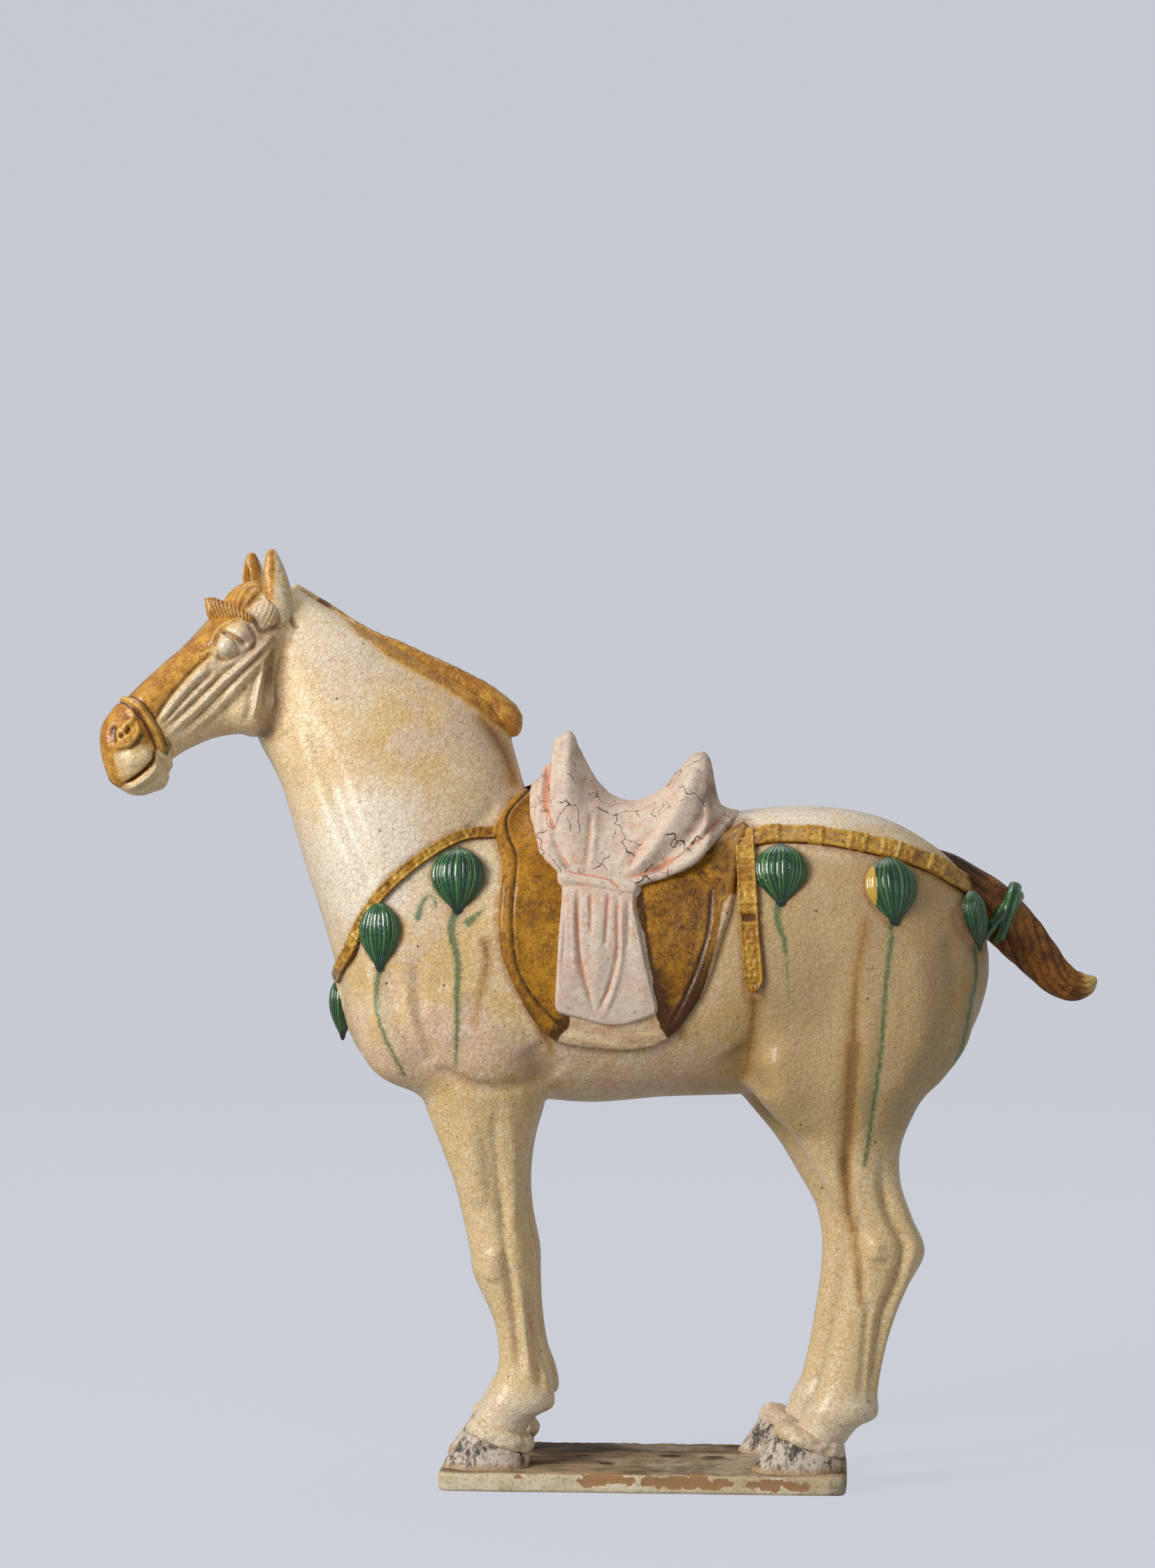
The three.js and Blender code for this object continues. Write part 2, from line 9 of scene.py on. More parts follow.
import bpy
import numpy as np
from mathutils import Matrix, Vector


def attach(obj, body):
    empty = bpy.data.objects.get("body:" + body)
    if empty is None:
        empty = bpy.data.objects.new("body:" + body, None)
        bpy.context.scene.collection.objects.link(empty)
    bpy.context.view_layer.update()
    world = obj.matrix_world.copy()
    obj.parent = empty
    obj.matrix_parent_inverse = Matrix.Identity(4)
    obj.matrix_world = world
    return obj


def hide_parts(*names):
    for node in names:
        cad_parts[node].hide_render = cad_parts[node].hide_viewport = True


MM = 0.001
BASE_STEP = 3.35  # of the grid that the body is first meshed on
SOFTENING_ROUNDS = 14  # of the smoothed copy that hollows are measured against
LEG_SPREAD = 30.0  # from the middle to each foot
# Each far leg against the near one: how far along X, and how much more for each mm of height
FAR_FORELEG = (-2.0, 0.0)
FAR_HINDLEG = (-6.0, -0.05)
FAR_HIND_HOOF = -10.0
# The head: its turn to the left about an upright axis, the start of its axis, the axis's slope
HEAD_TURN = math.radians(28)
HEAD_PIVOT = np.array([-208.5, 0.0, 0.0])
HEAD_ORIGIN = np.array([-223.5, -4.0, 507.0])
HEAD_SLOPE = math.radians(38.1)
HEAD_MIDDLE = 60  # how far along the head its middle is
HEAD_REACH = 115  # from there to the farthest point that the head shapes
# Softness of the joins of neck, legs and head with what carries them
NECK_JOIN, LEG_JOIN, HEAD_JOIN = 24.0, 14.0, 7.0
BODY_BOX = ((-348, -84, 17), (216, 84, 542))  # lowest and highest corner of what is meshed
SLAB = (240.0, 106.0, 11.5)  # length, width and height
CAMERA_AZIMUTH = math.radians(4.0)
CAMERA_DISTANCE = 2270.0
CAMERA_TARGET = (-41.0, 0.0, 416.0)
VIEW_WIDTH = 1652 * 0.42  # of what the camera sees at its target
NO_GLAZE = -8.0  # depth inside a run of glaze, far from any run
TAIL_FLUTES = 12
TASSEL_GROOVES = 26
# The studio, in metres: the backdrop's colour and glow, then its flat radius, bend and top
STUDIO = (0.027, 0.0275, 0.028)
STUDIO_GLOW = (0.55, 0.572, 0.632)
WORLD = (0.95, 0.97, 1.0)
WORLD_STRENGTH = 0.34
FLOOR_FLAT, FLOOR_BEND, FLOOR_TOP, FLOOR_SPOKES = 2.4, 1.6, 6.0, 96
# Each light: name, place, width and height, watts, colour
LIGHTS = [
    ("key", (-1.25, -1.15, 1.05), (0.7, 0.9), 28.5, (1.0, 0.98, 0.955)),
    ("fill", (1.9, -2.6, 1.2), (1.8, 1.8), 4, (0.96, 0.98, 1.0)),
    ("top", (-0.3, 0.4, 2.4), (1.4, 1.2), 12, (1.0, 1.0, 1.0)),
]

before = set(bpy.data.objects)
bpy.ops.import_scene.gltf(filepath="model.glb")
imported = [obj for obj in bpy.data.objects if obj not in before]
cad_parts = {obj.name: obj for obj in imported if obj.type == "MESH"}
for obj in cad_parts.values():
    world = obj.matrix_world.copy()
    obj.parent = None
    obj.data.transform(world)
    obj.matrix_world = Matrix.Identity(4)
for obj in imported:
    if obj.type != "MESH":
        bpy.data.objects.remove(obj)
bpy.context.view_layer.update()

# Stations: place on the axis, highest, lowest, widest, half-width, shift, squareness
TRUNK = np.array([
    [-180.5, 293.5, 275.5, 284.5, 10, 0, 2],
    [-175.5, 306.5, 261.5, 283.5, 31, 0, 2],
    [-166.5, 327.5, 249, 285.5, 46, 0, 2],
    [-153, 347, 239.5, 288, 56, 0, 2.1],
    [-132, 370, 233, 291.5, 63, 0, 2.2],
    [-103, 390, 230, 296, 66, 0, 2.2],
    [-68.5, 400, 228, 298, 66, 0, 2.2],
    [-31, 395, 225.5, 299, 66, 0, 2.2],
    [11, 393, 229, 300, 67, 0, 2.2],
    [53, 399.5, 230.5, 303.5, 69, 0, 2.1],
    [82.5, 402.5, 232.5, 309.5, 71, 0, 2.1],
    [115.5, 401.5, 237, 314.5, 72, 0, 2.1],
    [145, 394.5, 241, 316.5, 69, 0, 2],
    [169.5, 381, 249, 315.5, 60, 0, 2],
    [188, 365.5, 260, 311.5, 47, 0, 2],
    [197.5, 346.5, 276, 309, 33, 0, 2],
    [202.5, 327.5, 291, 308, 19, 0, 2],
    [204.5, 316, 301, 308, 8, 0, 2],
])
NECK = np.array([
    [534.5, -210, -222, -216, 8, -3, 2],
    [524, -193.5, -232, -214, 17, -4, 2],
    [511.5, -172.5, -238, -209, 23, -5, 2],
    [496.5, -144, -240, -198, 28, -5, 2],
    [482, -118, -240, -187, 31.5, -4, 2],
    [467, -94.5, -239, -177.5, 35, -3, 2],
    [452, -82.5, -236.5, -171.5, 38.5, -2, 2],
    [439.5, -80, -232, -167.5, 42, -1, 2],
    [418.5, -74.5, -221, -159, 47, 0, 2],
    [397.5, -72.5, -214, -154, 52, 0, 2],
    [366, -77, -204.5, -150, 57, 0, 2],
    [334, -85.5, -194, -148, 59, 0, 2],
    [302.5, -98, -184.5, -147, 56, 0, 2],
    [285.5, -115.5, -175.5, -149, 46, 0, 2],
])
FORELEG = np.array([
    [267.5, -73, -150, -113.5, 22, -34, 2],
    [251.5, -63, -143.5, -106.5, 27, -34.5, 2],
    [238, -59.5, -133, -99.5, 26.5, -34.5, 2],
    [221.5, -61.5, -127.5, -95.5, 24, -34, 2.1],
    [201, -67, -119.5, -93.5, 20.5, -33, 2.2],
    [180, -69.5, -112, -90.5, 17.5, -32, 2.2],
    [159.5, -68.5, -107, -87.5, 16, -31, 2.2],
    [139, -64.5, -102.5, -85.5, 17, -30.5, 2.2],
    [128.5, -63.5, -101.5, -83.5, 16.5, -30, 2.2],
    [118, -63.5, -97.5, -81.5, 14.5, -30, 2.2],
    [97.5, -62.5, -88.5, -76.5, 12, -30, 2.2],
    [77, -59.5, -85.5, -73, 12, -30, 2.2],
    [62.5, -54.5, -88, -72, 13.5, -30, 2.2],
    [52, -52.5, -94, -75.5, 15.5, -30, 2.2],
    [46.5, -54, -97, -78, 15.5, -30, 2.2],
    [42.5, -61.5, -99.5, -81.5, 15, -30, 2.1],
    [38, -66.5, -101.5, -84, 15, -30, 2],
    [26.5, -72.5, -104.5, -88.5, 14, -30, 2],
])
HINDLEG = np.array([
    [305.5, 176, 88.5, 133.5, 26, -36, 2],
    [284.5, 188, 78.5, 135.5, 31, -37, 2],
    [264.5, 189, 72, 131.5, 33, -37, 2],
    [243.5, 176.5, 67, 123.5, 32, -36, 2],
    [233.5, 167, 69.5, 119.5, 30, -36, 2],
    [223, 160, 77.5, 119.5, 27, -36, 2],
    [202.5, 152, 93.5, 122.5, 22.5, -35, 2.1],
    [181.5, 152, 105.5, 128.5, 19, -34, 2.2],
    [161.5, 158.5, 115.5, 136.5, 16.5, -33, 2.2],
    [141, 166, 118.5, 138.5, 16.5, -32, 2.1],
    [120, 156, 116.5, 135.5, 14.5, -31, 2.2],
    [99.5, 147.5, 112.5, 129.5, 13, -30.5, 2.2],
    [79, 142, 108, 124.5, 12.5, -30, 2.2],
    [58.5, 138.5, 102, 119.5, 14, -30, 2.2],
    [48, 139, 96, 115.5, 16, -30, 2.2],
    [42.5, 137, 93.5, 112, 15.5, -30, 2.1],
    [38.5, 129, 91.5, 108, 15, -30, 2],
    [34, 124, 89.5, 105.5, 15, -30, 2],
    [26.5, 118.5, 87, 101.5, 14, -30, 2],
])
HEAD = np.array([
    [-16, 23.5, 6, 15, 9, 0, 2],
    [-8, 28.5, -6, 14, 18, 0, 2.2],
    [3, 33, -10, 13, 21, 0, 2.4],
    [19.5, 34, -17, 12, 22.5, 0, 2.5],
    [33, 32, -27, 11, 22.5, 0, 2.5],
    [45, 30.5, -37.5, 10, 20.5, 0, 2.4],
    [51, 30, -39.5, 9, 19, 0, 2.4],
    [56.5, 29.5, -33.5, 9, 18, 0, 2.5],
    [63, 29.5, -29, 9, 17, 0, 2.5],
    [73, 29, -24, 9, 15.5, 0, 2.5],
    [85, 28.5, -20.5, 8.5, 14.5, 0, 2.5],
    [96, 27.5, -18.5, 8, 14, 0, 2.5],
    [103, 28, -19.5, 6, 14, 0, 2.4],
    [109, 27.5, -25.5, 3, 15.5, 0, 2.3],
    [115, 26, -28.5, 0, 16.5, 0, 2.2],
    [121.5, 23.5, -26.5, -1, 15.5, 0, 2.2],
    [128, 17.5, -24, -2, 12.5, 0, 2.1],
    [133.5, 8, -18.5, -4, 8.5, 0, 2],
    [137.5, -3, -9, -5.5, 3.5, 0, 2],
])


def curve(rows, per_span=6):
    """Rows of numbers with a smooth run of new rows between each two."""
    rows = np.asarray(rows, float)
    padded = np.vstack([rows[:1], rows, rows[-1:]])
    f = np.linspace(0, 1, per_span, endpoint=False)[:, None]
    spans = []
    for i in range(len(rows) - 1):
        a, b, d, e = padded[i : i + 4]
        bend = 2 * a - 5 * b + 4 * d - e + f * (3 * (b - d) + e - a)
        spans.append(b + 0.5 * f * (d - a + f * bend))
    return np.vstack(spans + [rows[-1:]])


class Loft:
    """A form swept along an axis through stations, as a rough distance in millimetres."""

    def __init__(self, stations, axes, reach=28.0):
        fine = curve(stations, 10)
        self.rows = fine[np.argsort(fine[:, 0])]
        self.axes = axes
        at, high, low, _, half, off, _ = self.rows.T
        lowest = [at.min(), low.min(), (off - half).min()]
        highest = [at.max(), high.max(), (off + half).max()]
        self.low = np.array(lowest) - reach
        self.high = np.array(highest) + reach

    def __call__(self, p):
        q = p[:, self.axes]
        near = np.all((q > self.low) & (q < self.high), axis=1)
        out = np.full(len(p), 1e3)
        at, up, side = q[near].T
        on = np.clip(at, self.rows[0, 0], self.rows[-1, 0])
        high, low, wide, half, off, power = (
            np.interp(on, self.rows[:, 0], self.rows[:, c]) for c in range(1, 7)
        )
        w = up - wide
        s = side - off
        span = np.maximum(np.where(w > 0, high - wide, wide - low), 0.5)
        r = (np.abs(s / half) ** power + np.abs(w / span) ** power) ** (1 / power)
        length = np.hypot(w, s)
        d = np.where(r > 1e-3, length - length / np.maximum(r, 1e-3), -np.minimum(half, span))
        end = np.abs(at - on)
        out[near] = np.where(end > 0, np.hypot(np.maximum(d, 0), end), d)
        return out


class Ball:
    """An ellipsoid with its axes along the rows of a turning matrix."""

    def __init__(self, centre, sizes, turn=None):
        self.centre = np.array(centre, float)
        self.sizes = np.array(sizes, float)
        self.turn = np.eye(3) if turn is None else turn

    def __call__(self, p):
        q = (p - self.centre) @ self.turn.T
        r = np.linalg.norm(q / self.sizes, axis=1)
        length = np.linalg.norm(q, axis=1)
        d = length - length / np.maximum(r, 1e-3)
        return np.where(r > 1e-3, d, -self.sizes.min())


def merged(a, b, soft):
    """The union of two forms with a soft fillet between them."""
    h = np.maximum(soft - np.abs(a - b), 0) / soft
    return np.minimum(a, b) - h * h * soft / 4


def other_leg(stations, shift):
    """The stations of a far leg from those of the near one."""
    rows = stations.copy()
    rows[:, 1:4] += shift[0] + shift[1] * rows[:, :1]
    rows[:, 5] *= -1
    return rows


X_AXIS = [0, 2, 1]
Z_AXIS = [2, 0, 1]


def head_axes():
    c, s = math.cos(HEAD_TURN), math.sin(HEAD_TURN)
    turn = np.array([[c, -s, 0], [s, c, 0], [0, 0, 1]])
    along = turn @ [-math.cos(HEAD_SLOPE), 0, -math.sin(HEAD_SLOPE)]
    up = turn @ [-math.sin(HEAD_SLOPE), 0, math.cos(HEAD_SLOPE)]
    side = turn @ [0, 1, 0]
    origin = HEAD_PIVOT + turn @ (HEAD_ORIGIN - HEAD_PIVOT)
    return origin, np.array([along, up, side]), turn


H_ORIGIN, H_AXES, H_TURN = head_axes()


def to_head(p):
    """Points in the head's own frame: along the face, up from it and across."""
    return (p - H_ORIGIN) @ H_AXES.T


def from_head(q):
    return np.asarray(q, float) @ H_AXES + H_ORIGIN


def about_head(q, start, side, low, high):
    """Which points in the head's frame lie in a box round the head."""
    along, up, across = q.T
    return (along > start) & (np.abs(across) < side) & (up > low) & (up < high)


FACE_BOX = (-10, 34, -42, 46)  # start, side, low and high of the piece with the face


trunk = Loft(TRUNK, X_AXIS)
neck = Loft(NECK, Z_AXIS)
legs = [
    Loft(FORELEG, Z_AXIS),
    Loft(HINDLEG, Z_AXIS),
    Loft(other_leg(FORELEG, FAR_FORELEG), Z_AXIS),
    Loft(other_leg(HINDLEG, FAR_HINDLEG), Z_AXIS),
]
skull = Loft(HEAD, [0, 1, 2], 22.0)
# Lumps on the head, in its own frame: middle, sizes, softness of the join
HEAD_LUMPS = [
    ((25.5, 18.5, -16.8), (7.6, 7.0, 8.6), 3),
    ((25.5, 18.5, 16.8), (7.6, 7.0, 8.6), 3),
    ((5, 17.2, -14.5), (9.6, 9.2, 9.2), 3),
    ((5, 17.2, 14.5), (9.6, 9.2, 9.2), 3),
    ((116, 10, -11.5), (8, 9, 6), 4),
    ((116, 10, 11.5), (8, 9, 6), 4),
    ((44, -20, -12), (15, 17, 9), 8),
    ((44, -20, 12), (15, 17, 9), 8),
    ((6, 31, -3), (12, 7, 12), 6),
]
lumps = [(Ball(m, s), k) for m, s, k in HEAD_LUMPS]
# Muscles and joints of the trunk and the near legs; each is mirrored for the far side
BODY_LUMPS = [
    ((-137, -44, 268), (30, 22, 30), 16),
    ((-92, -46, 262), (26, 20, 26), 14),
    ((150, -38, 290), (40, 30, 42), 18),
    ((85, -44, 250), (16, 18, 26), 16),
]
body_lumps = [
    (Ball((x, side * y, z), s), k) for (x, y, z), s, k in BODY_LUMPS for side in (1, -1)
]


def body(p):
    """Rough distance to the horse's body, neck, head and legs."""
    d = trunk(p)
    d = merged(d, neck(p), NECK_JOIN)
    for leg in legs:
        d = merged(d, leg(p), LEG_JOIN)
    for lump, soft in body_lumps:
        d = merged(d, lump(p), soft)
    near = np.linalg.norm(p - from_head([HEAD_MIDDLE, 0, 0]), axis=1) < HEAD_REACH
    q = to_head(p[near])
    h = skull(q)
    for lump, soft in lumps:
        h = merged(h, lump(q), soft)
    d[near] = merged(d[near], h, HEAD_JOIN)
    return d


def gradient(field, p, step=0.5):
    g = np.empty_like(p)
    for c in range(3):
        shift = np.zeros(3)
        shift[c] = step
        g[:, c] = (field(p + shift) - field(p - shift)) / (2 * step)
    return g


def settle(field, p, rounds):
    """Moves points onto the surface of a field and gives them with their normals."""
    for _ in range(rounds):
        g = gradient(field, p)
        size = np.maximum((g * g).sum(1), 0.05)
        step = field(p) / size
        p = p - np.clip(step, -4, 4)[:, None] * g
    g = gradient(field, p)
    return p, g / np.maximum(np.linalg.norm(g, axis=1), 1e-6)[:, None]


def surface_nets(field, low, high, step):
    """A quad mesh of the surface of a field, one point for each cell that it crosses."""
    low = np.array(low, float)
    count = np.ceil((np.array(high) - low) / step).astype(int) + 1
    axes = [low[c] + step * np.arange(count[c]) for c in range(3)]
    values = np.empty(count)
    for i, x in enumerate(axes[0]):
        y, z = np.meshgrid(axes[1], axes[2], indexing="ij")
        slab_points = np.column_stack([np.full(y.size, x), y.ravel(), z.ravel()])
        values[i] = field(slab_points).reshape(y.shape)
    inside = values < 0
    cells = tuple(n - 1 for n in count)
    total = np.zeros(cells + (3,))
    crossings = np.zeros(cells)
    corners = [np.array([i, j, k]) for i in (0, 1) for j in (0, 1) for k in (0, 1)]

    def window(o):
        return tuple(slice(o[c], o[c] + cells[c]) for c in range(3))

    for a in corners:
        for c in range(3):
            if a[c]:
                continue
            b = a.copy()
            b[c] = 1
            va, vb = values[window(a)], values[window(b)]
            cross = (va < 0) != (vb < 0)
            share = np.where(cross, va / np.where(cross, va - vb, 1), 0)
            for k in range(3):
                total[..., k] += cross * (a[k] + share * (b[k] - a[k]))
            crossings += cross
    active = crossings > 0
    index = np.full(cells, -1)
    index[active] = np.arange(active.sum())
    cell = np.argwhere(active)
    points = low + step * (cell + total[active] / crossings[active][:, None])
    quads = []
    for c in range(3):
        u, v = [(1, 2), (2, 0), (0, 1)][c]
        first = np.take(inside, range(count[c] - 1), axis=c)
        second = np.take(inside, range(1, count[c]), axis=c)
        edge = np.argwhere(first != second)
        edge = edge[(edge[:, u] > 0) & (edge[:, v] > 0)]
        edge = edge[(edge[:, u] < cells[u]) & (edge[:, v] < cells[v])]
        offsets = []
        for du, dv in ((0, 0), (-1, 0), (-1, -1), (0, -1)):
            o = edge.copy()
            o[:, u] += du
            o[:, v] += dv
            offsets.append(index[tuple(o.T)])
        quad = np.column_stack(offsets)
        flip = ~first[tuple(edge.T)]
        quad[flip] = quad[flip][:, ::-1]
        quads.append(quad)
    return points, np.vstack(quads)


def split_quads(points, quads, chosen):
    """Cuts each chosen quad in four. Neighbours that gain a point are given apart, as odd faces."""
    edges = np.sort(
        np.stack([quads[chosen], np.roll(quads[chosen], -1, axis=1)], axis=2).reshape(-1, 2), axis=1
    )
    unique, back = np.unique(edges, axis=0, return_inverse=True)
    first_mid = len(points)
    mids = points[unique].mean(1)
    first_centre = first_mid + len(mids)
    centres = points[quads[chosen]].mean(1)
    mid = first_mid + back.reshape(-1, 4)
    corner = quads[chosen]
    centre = first_centre + np.arange(len(corner))
    small = [
        np.column_stack([corner[:, k], mid[:, k], centre, mid[:, k - 1]]) for k in range(4)
    ]
    faces = [np.vstack(small)]
    rest = quads[~chosen]
    odd = []
    if len(rest):
        key = {tuple(e): first_mid + i for i, e in enumerate(unique)}
        touched = np.isin(rest, np.unique(unique)).sum(1) > 1
        plain = [rest[~touched]]
        for quad in rest[touched]:
            ring = []
            for k in range(4):
                a, b = int(quad[k]), int(quad[(k + 1) % 4])
                ring.append(a)
                m = key.get((min(a, b), max(a, b)))
                if m is not None:
                    ring.append(m)
            if len(ring) == 4:
                plain.append(np.array([ring]))
            else:
                odd.append(ring)
        faces.append(np.vstack(plain))
    return np.vstack([points, mids, centres]), np.vstack(faces), odd


def near_line(p, line):
    """Distance from points to a line through corners, and the share along it."""
    line = np.asarray(line, float)
    best = np.full(len(p), 1e9)
    share = np.zeros(len(p))
    lengths = np.linalg.norm(np.diff(line, axis=0), axis=1)
    start = np.concatenate([[0], np.cumsum(lengths)])
    for i in range(len(line) - 1):
        a, b = line[i], line[i + 1]
        t = np.clip(((p - a) @ (b - a)) / max(lengths[i] ** 2, 1e-9), 0, 1)
        d = np.linalg.norm(p - a - t[:, None] * (b - a), axis=1)
        closer = d < best
        best[closer] = d[closer]
        share[closer] = ((start[i] + t * lengths[i]) / start[-1])[closer]
    return best, share


def smooth(x, low, high):
    """Rises softly from 0 at low to 1 at high; low may be the larger of the two."""
    t = np.clip((x - low) / (high - low), 0, 1)
    return t * t * (3 - 2 * t)


def bell(x, width, z=0, height=1):
    """1 at zero, falling off softly over a width, and over a height where z is given."""
    return np.exp(-((x / width) ** 2) - ((z / height) ** 2))


# Relief on the body's sides: line as (x, z), width, height (a groove when negative)
SIDE_RELIEF = [
    ([(-172, 330), (-169, 303), (-166, 281), (-158, 262), (-146, 246)], 5, -1.8),
    ([(-160, 318), (-157, 296), (-152, 277), (-144, 262), (-134, 250)], 5, 1.2),
    ([(-148, 312), (-144.5, 290), (-137, 270), (-129, 258), (-120, 247)], 5, -2.0),
    ([(-138, 300), (-136, 284), (-131, 270), (-124, 256)], 4, 1.2),
    ([(-130, 318), (-130, 290), (-126, 269), (-119, 250)], 4.6, -1.7),
    ([(-124, 252), (-113, 246.5), (-105, 242), (-95, 238.5), (-80, 238), (-66, 243),
      (-57, 252)], 4.5, -3),
    ([(-109, 300), (-110, 280), (-108, 262)], 9, 1.8),
    ([(-66, 262), (-58, 252), (-50, 243)], 9, -2.5),
    ([(-204, 455), (-190, 430), (-181, 410), (-172, 388), (-163, 368), (-155, 345)], 6, -2.0),
    ([(-206, 455), (-199, 430), (-192, 405), (-185, 375), (-180, 350)], 8, 1.6),
    ([(-229, 478), (-222, 460), (-214, 445), (-204, 425)], 7, -1.6),
    ([(-205, 508), (-206, 490), (-213, 470)], 7, -2.2),
    ([(-170, 497), (-140, 482), (-110, 466), (-92, 450), (-84, 430)], 6, -1.6),
    ([(-86, 405), (-93, 396), (-104, 388)], 5, -2),
    ([(52, 262), (60, 252), (68, 243), (72, 232)], 9, -3.4),
    ([(74, 262), (80, 246), (88, 228), (97, 208)], 9, 2.8),
    ([(125, 300), (124.5, 264), (122, 237), (120.5, 213), (119, 190), (119.5, 168)], 5, -1.8),
    ([(143, 300), (141, 271), (139, 252), (135.5, 229), (133, 209)], 4, -1),
    ([(160, 330), (163, 300), (162, 272), (154, 246), (146, 226)], 9, 2),
    ([(178, 330), (183, 304), (180, 278), (171, 254)], 5, -2.2),
    ([(104, 352), (108, 320), (110, 290), (106, 262)], 12, -1.6),
    ([(70, 292), (68, 272), (62, 254)], 8, -2),
    ([(-86, 228), (-85, 198), (-82, 165), (-80, 140)], 3.0, -1.8),
    ([(-78.5, 230), (-75.5, 205), (-75, 178), (-77, 150)], 3, 1.0),
    ([(-103, 220), (-97.5, 188), (-95, 165)], 6, 1.4),
    ([(-92, 214), (-90, 190), (-88, 170)], 3.5, -1),
    ([(-71, 200), (-68.5, 178), (-66, 154), (-65, 125)], 3.2, -1.8),
    ([(-81, 150), (-79, 132), (-76.5, 112), (-74, 87), (-71, 66)], 2.6, -2),
    ([(-74, 128), (-71.5, 108), (-69, 84), (-66, 60)], 2.4, 1.3),
    ([(-67, 122), (-65.5, 104), (-62.5, 83), (-59, 56)], 2.2, -1.8),
    ([(-89, 142), (-87, 132), (-90, 122)], 5, 1.4),
    ([(141, 200), (141.5, 176), (147.5, 158), (153, 146), (149, 125), (141, 105), (137, 77),
      (133, 48)], 3, -2.2),
    ([(149, 200), (150, 176), (156, 158), (160, 145), (154, 124), (147, 104), (142, 77),
      (138, 52)], 3.2, 1.2),
    ([(133, 114), (131, 86), (128, 52)], 2.4, -1.3),
    ([(128, 165), (127, 148), (129, 130), (129, 113)], 2.6, -1.6),
    ([(139, 150), (137.5, 144), (138, 137)], 5, 1.8),
    ([(119, 200), (121, 165), (124, 155)], 3.5, -1.2),
]
# The belly's crescent below each flap
CRESCENT = [(-48, 268), (-31, 264.5), (-8, 263), (10, 266), (22, 273)]
# Relief on the head in its own frame: line as (along, up), width, height
HEAD_RELIEF = [
    ([(8, 7), (16.6, 4.6), (27.4, 3.6), (40.5, 2.8), (53, 1.7), (66.5, -0.2), (76.6, -1.4),
      (86, -1.9), (99.5, -3.8)], 1.6, 1.7),
    ([(11, 0.2), (24.6, -2), (38.6, -3.6), (52.8, -6.4), (66.6, -9), (78.7, -9.6),
      (90, -10.8)], 1.5, 1.1),
    ([(13, 3.4), (25.7, 1.2), (39.6, -0.5), (52.9, -2.6), (66.2, -4.6), (78, -5.9),
      (91, -6.8)], 1.1, -1.1),
    ([(14, 9), (27, 7.4), (41, 6.4), (54, 5.2), (67, 3.4), (78, 2.4), (90, 1.6),
      (99, 0.5)], 1.5, -1.1),
    ([(12, -4), (25, -6.4), (38, -8.2), (52, -10.4), (66, -12.8), (80, -13.4)], 1.6, -0.9),
    ([(47, 18), (56, 18.4), (69, 16.6), (86, 12.8), (98.6, 7.6)], 1.2, -1.6),
    ([(52, 14.8), (66, 13.2), (80, 10.6), (97, 6.2)], 1.8, 1.2),
    ([(50, 10.6), (66, 9.2), (80, 7), (97, 4)], 1.3, -1.3),
    ([(50, 7.8), (66, 6.2), (80, 4.6), (97, 2.6)], 1.3, 0.8),
    ([(24, -2), (28, -6), (33.4, -10.6), (41.6, -17), (52, -27)], 1.4, 2.1),
    ([(33, -7), (39, -11.5), (47, -18), (56, -27)], 2.3, -1.3),
    ([(20, -6), (27, -12.5), (35, -19), (45, -29)], 1.9, -1.1),
    ([(12, -3), (19, -10), (28, -19), (39, -32)], 1.8, 1.2),
    ([(64, -13), (51, -13), (40, -8.5)], 3.6, -1.6),
    ([(34.2, 27.5), (32.2, 22), (31.2, 18), (28.6, 12.8), (26.6, 10)], 1.1, -2.6),
    ([(45, 23.5), (39, 25.6), (32, 27.4), (25, 26.6), (19, 23), (17.6, 17), (20, 10)], 1.3, 1.6),
    ([(43, 21), (38.5, 24), (35, 25.4)], 1.1, -1.4),
    ([(20, 21), (19.6, 15), (22, 9), (28, 6.8)], 1.3, -1.6),
    ([(46.5, 17), (44, 12), (38.5, 9.5), (32, 9.6)], 1.5, -1.6),
    ([(52, 21), (48, 21.5), (45.5, 19), (44.5, 15.5)], 1.2, 1.5),
    ([(47.5, 11), (42, 7.8), (34, 7)], 1.6, 0.8),
    ([(-1.4, 25), (-3.8, 15), (-5, 6.4), (-3, -2)], 1.6, -2.2),
    ([(13, 25), (15.5, 18), (14.5, 11), (9, 8.4), (2, 6)], 1.5, -1.8),
    ([(0, 26), (6, 28), (12, 26.5)], 1.4, -1.5),
    ([(135.5, -10), (130.3, -11.1), (120.5, -10.3), (113, -8.5), (108.4, -4.2)], 1.1, -3.2),
    ([(134.5, -13.6), (127.5, -15), (118.8, -14), (112.3, -11.6)], 1.3, 1.4),
    ([(131, -18.5), (121, -19), (113, -16.4)], 1.8, -1.3),
    ([(127, 1), (119, -4), (112, -3)], 4.6, 1.6),
    ([(106.7, 24.5), (105.9, 21.1), (107.4, 18.0), (111.8, 17.3), (116.5, 18)], 1.3, 1.7),
    ([(107.2, 16.5), (110.9, 10.4), (116, 8.7), (120.4, 7.6), (123.8, 9.2)], 1.4, 1.3),
    ([(117, 21.5), (121.6, 18.9), (124.3, 14.8), (124.6, 12)], 1.1, -1.5),
    ([(112.4, 15.4), (115.2, 15.0), (117.6, 13.6)], 1.4, -2.6),
    ([(118.8, 15.8), (121.6, 13.4)], 1.3, -2.4),
    ([(120.6, 13), (117.6, 11.9), (119.6, 9.4)], 1.3, 1.6),
    ([(108.6, 9.4), (112, 6.6), (117.1, 5.3), (125.6, 6.4), (129, 7.8)], 2.0, -1.4),
    ([(126.5, 14), (124, 18), (119, 21.6)], 1.6, -0.9),
]
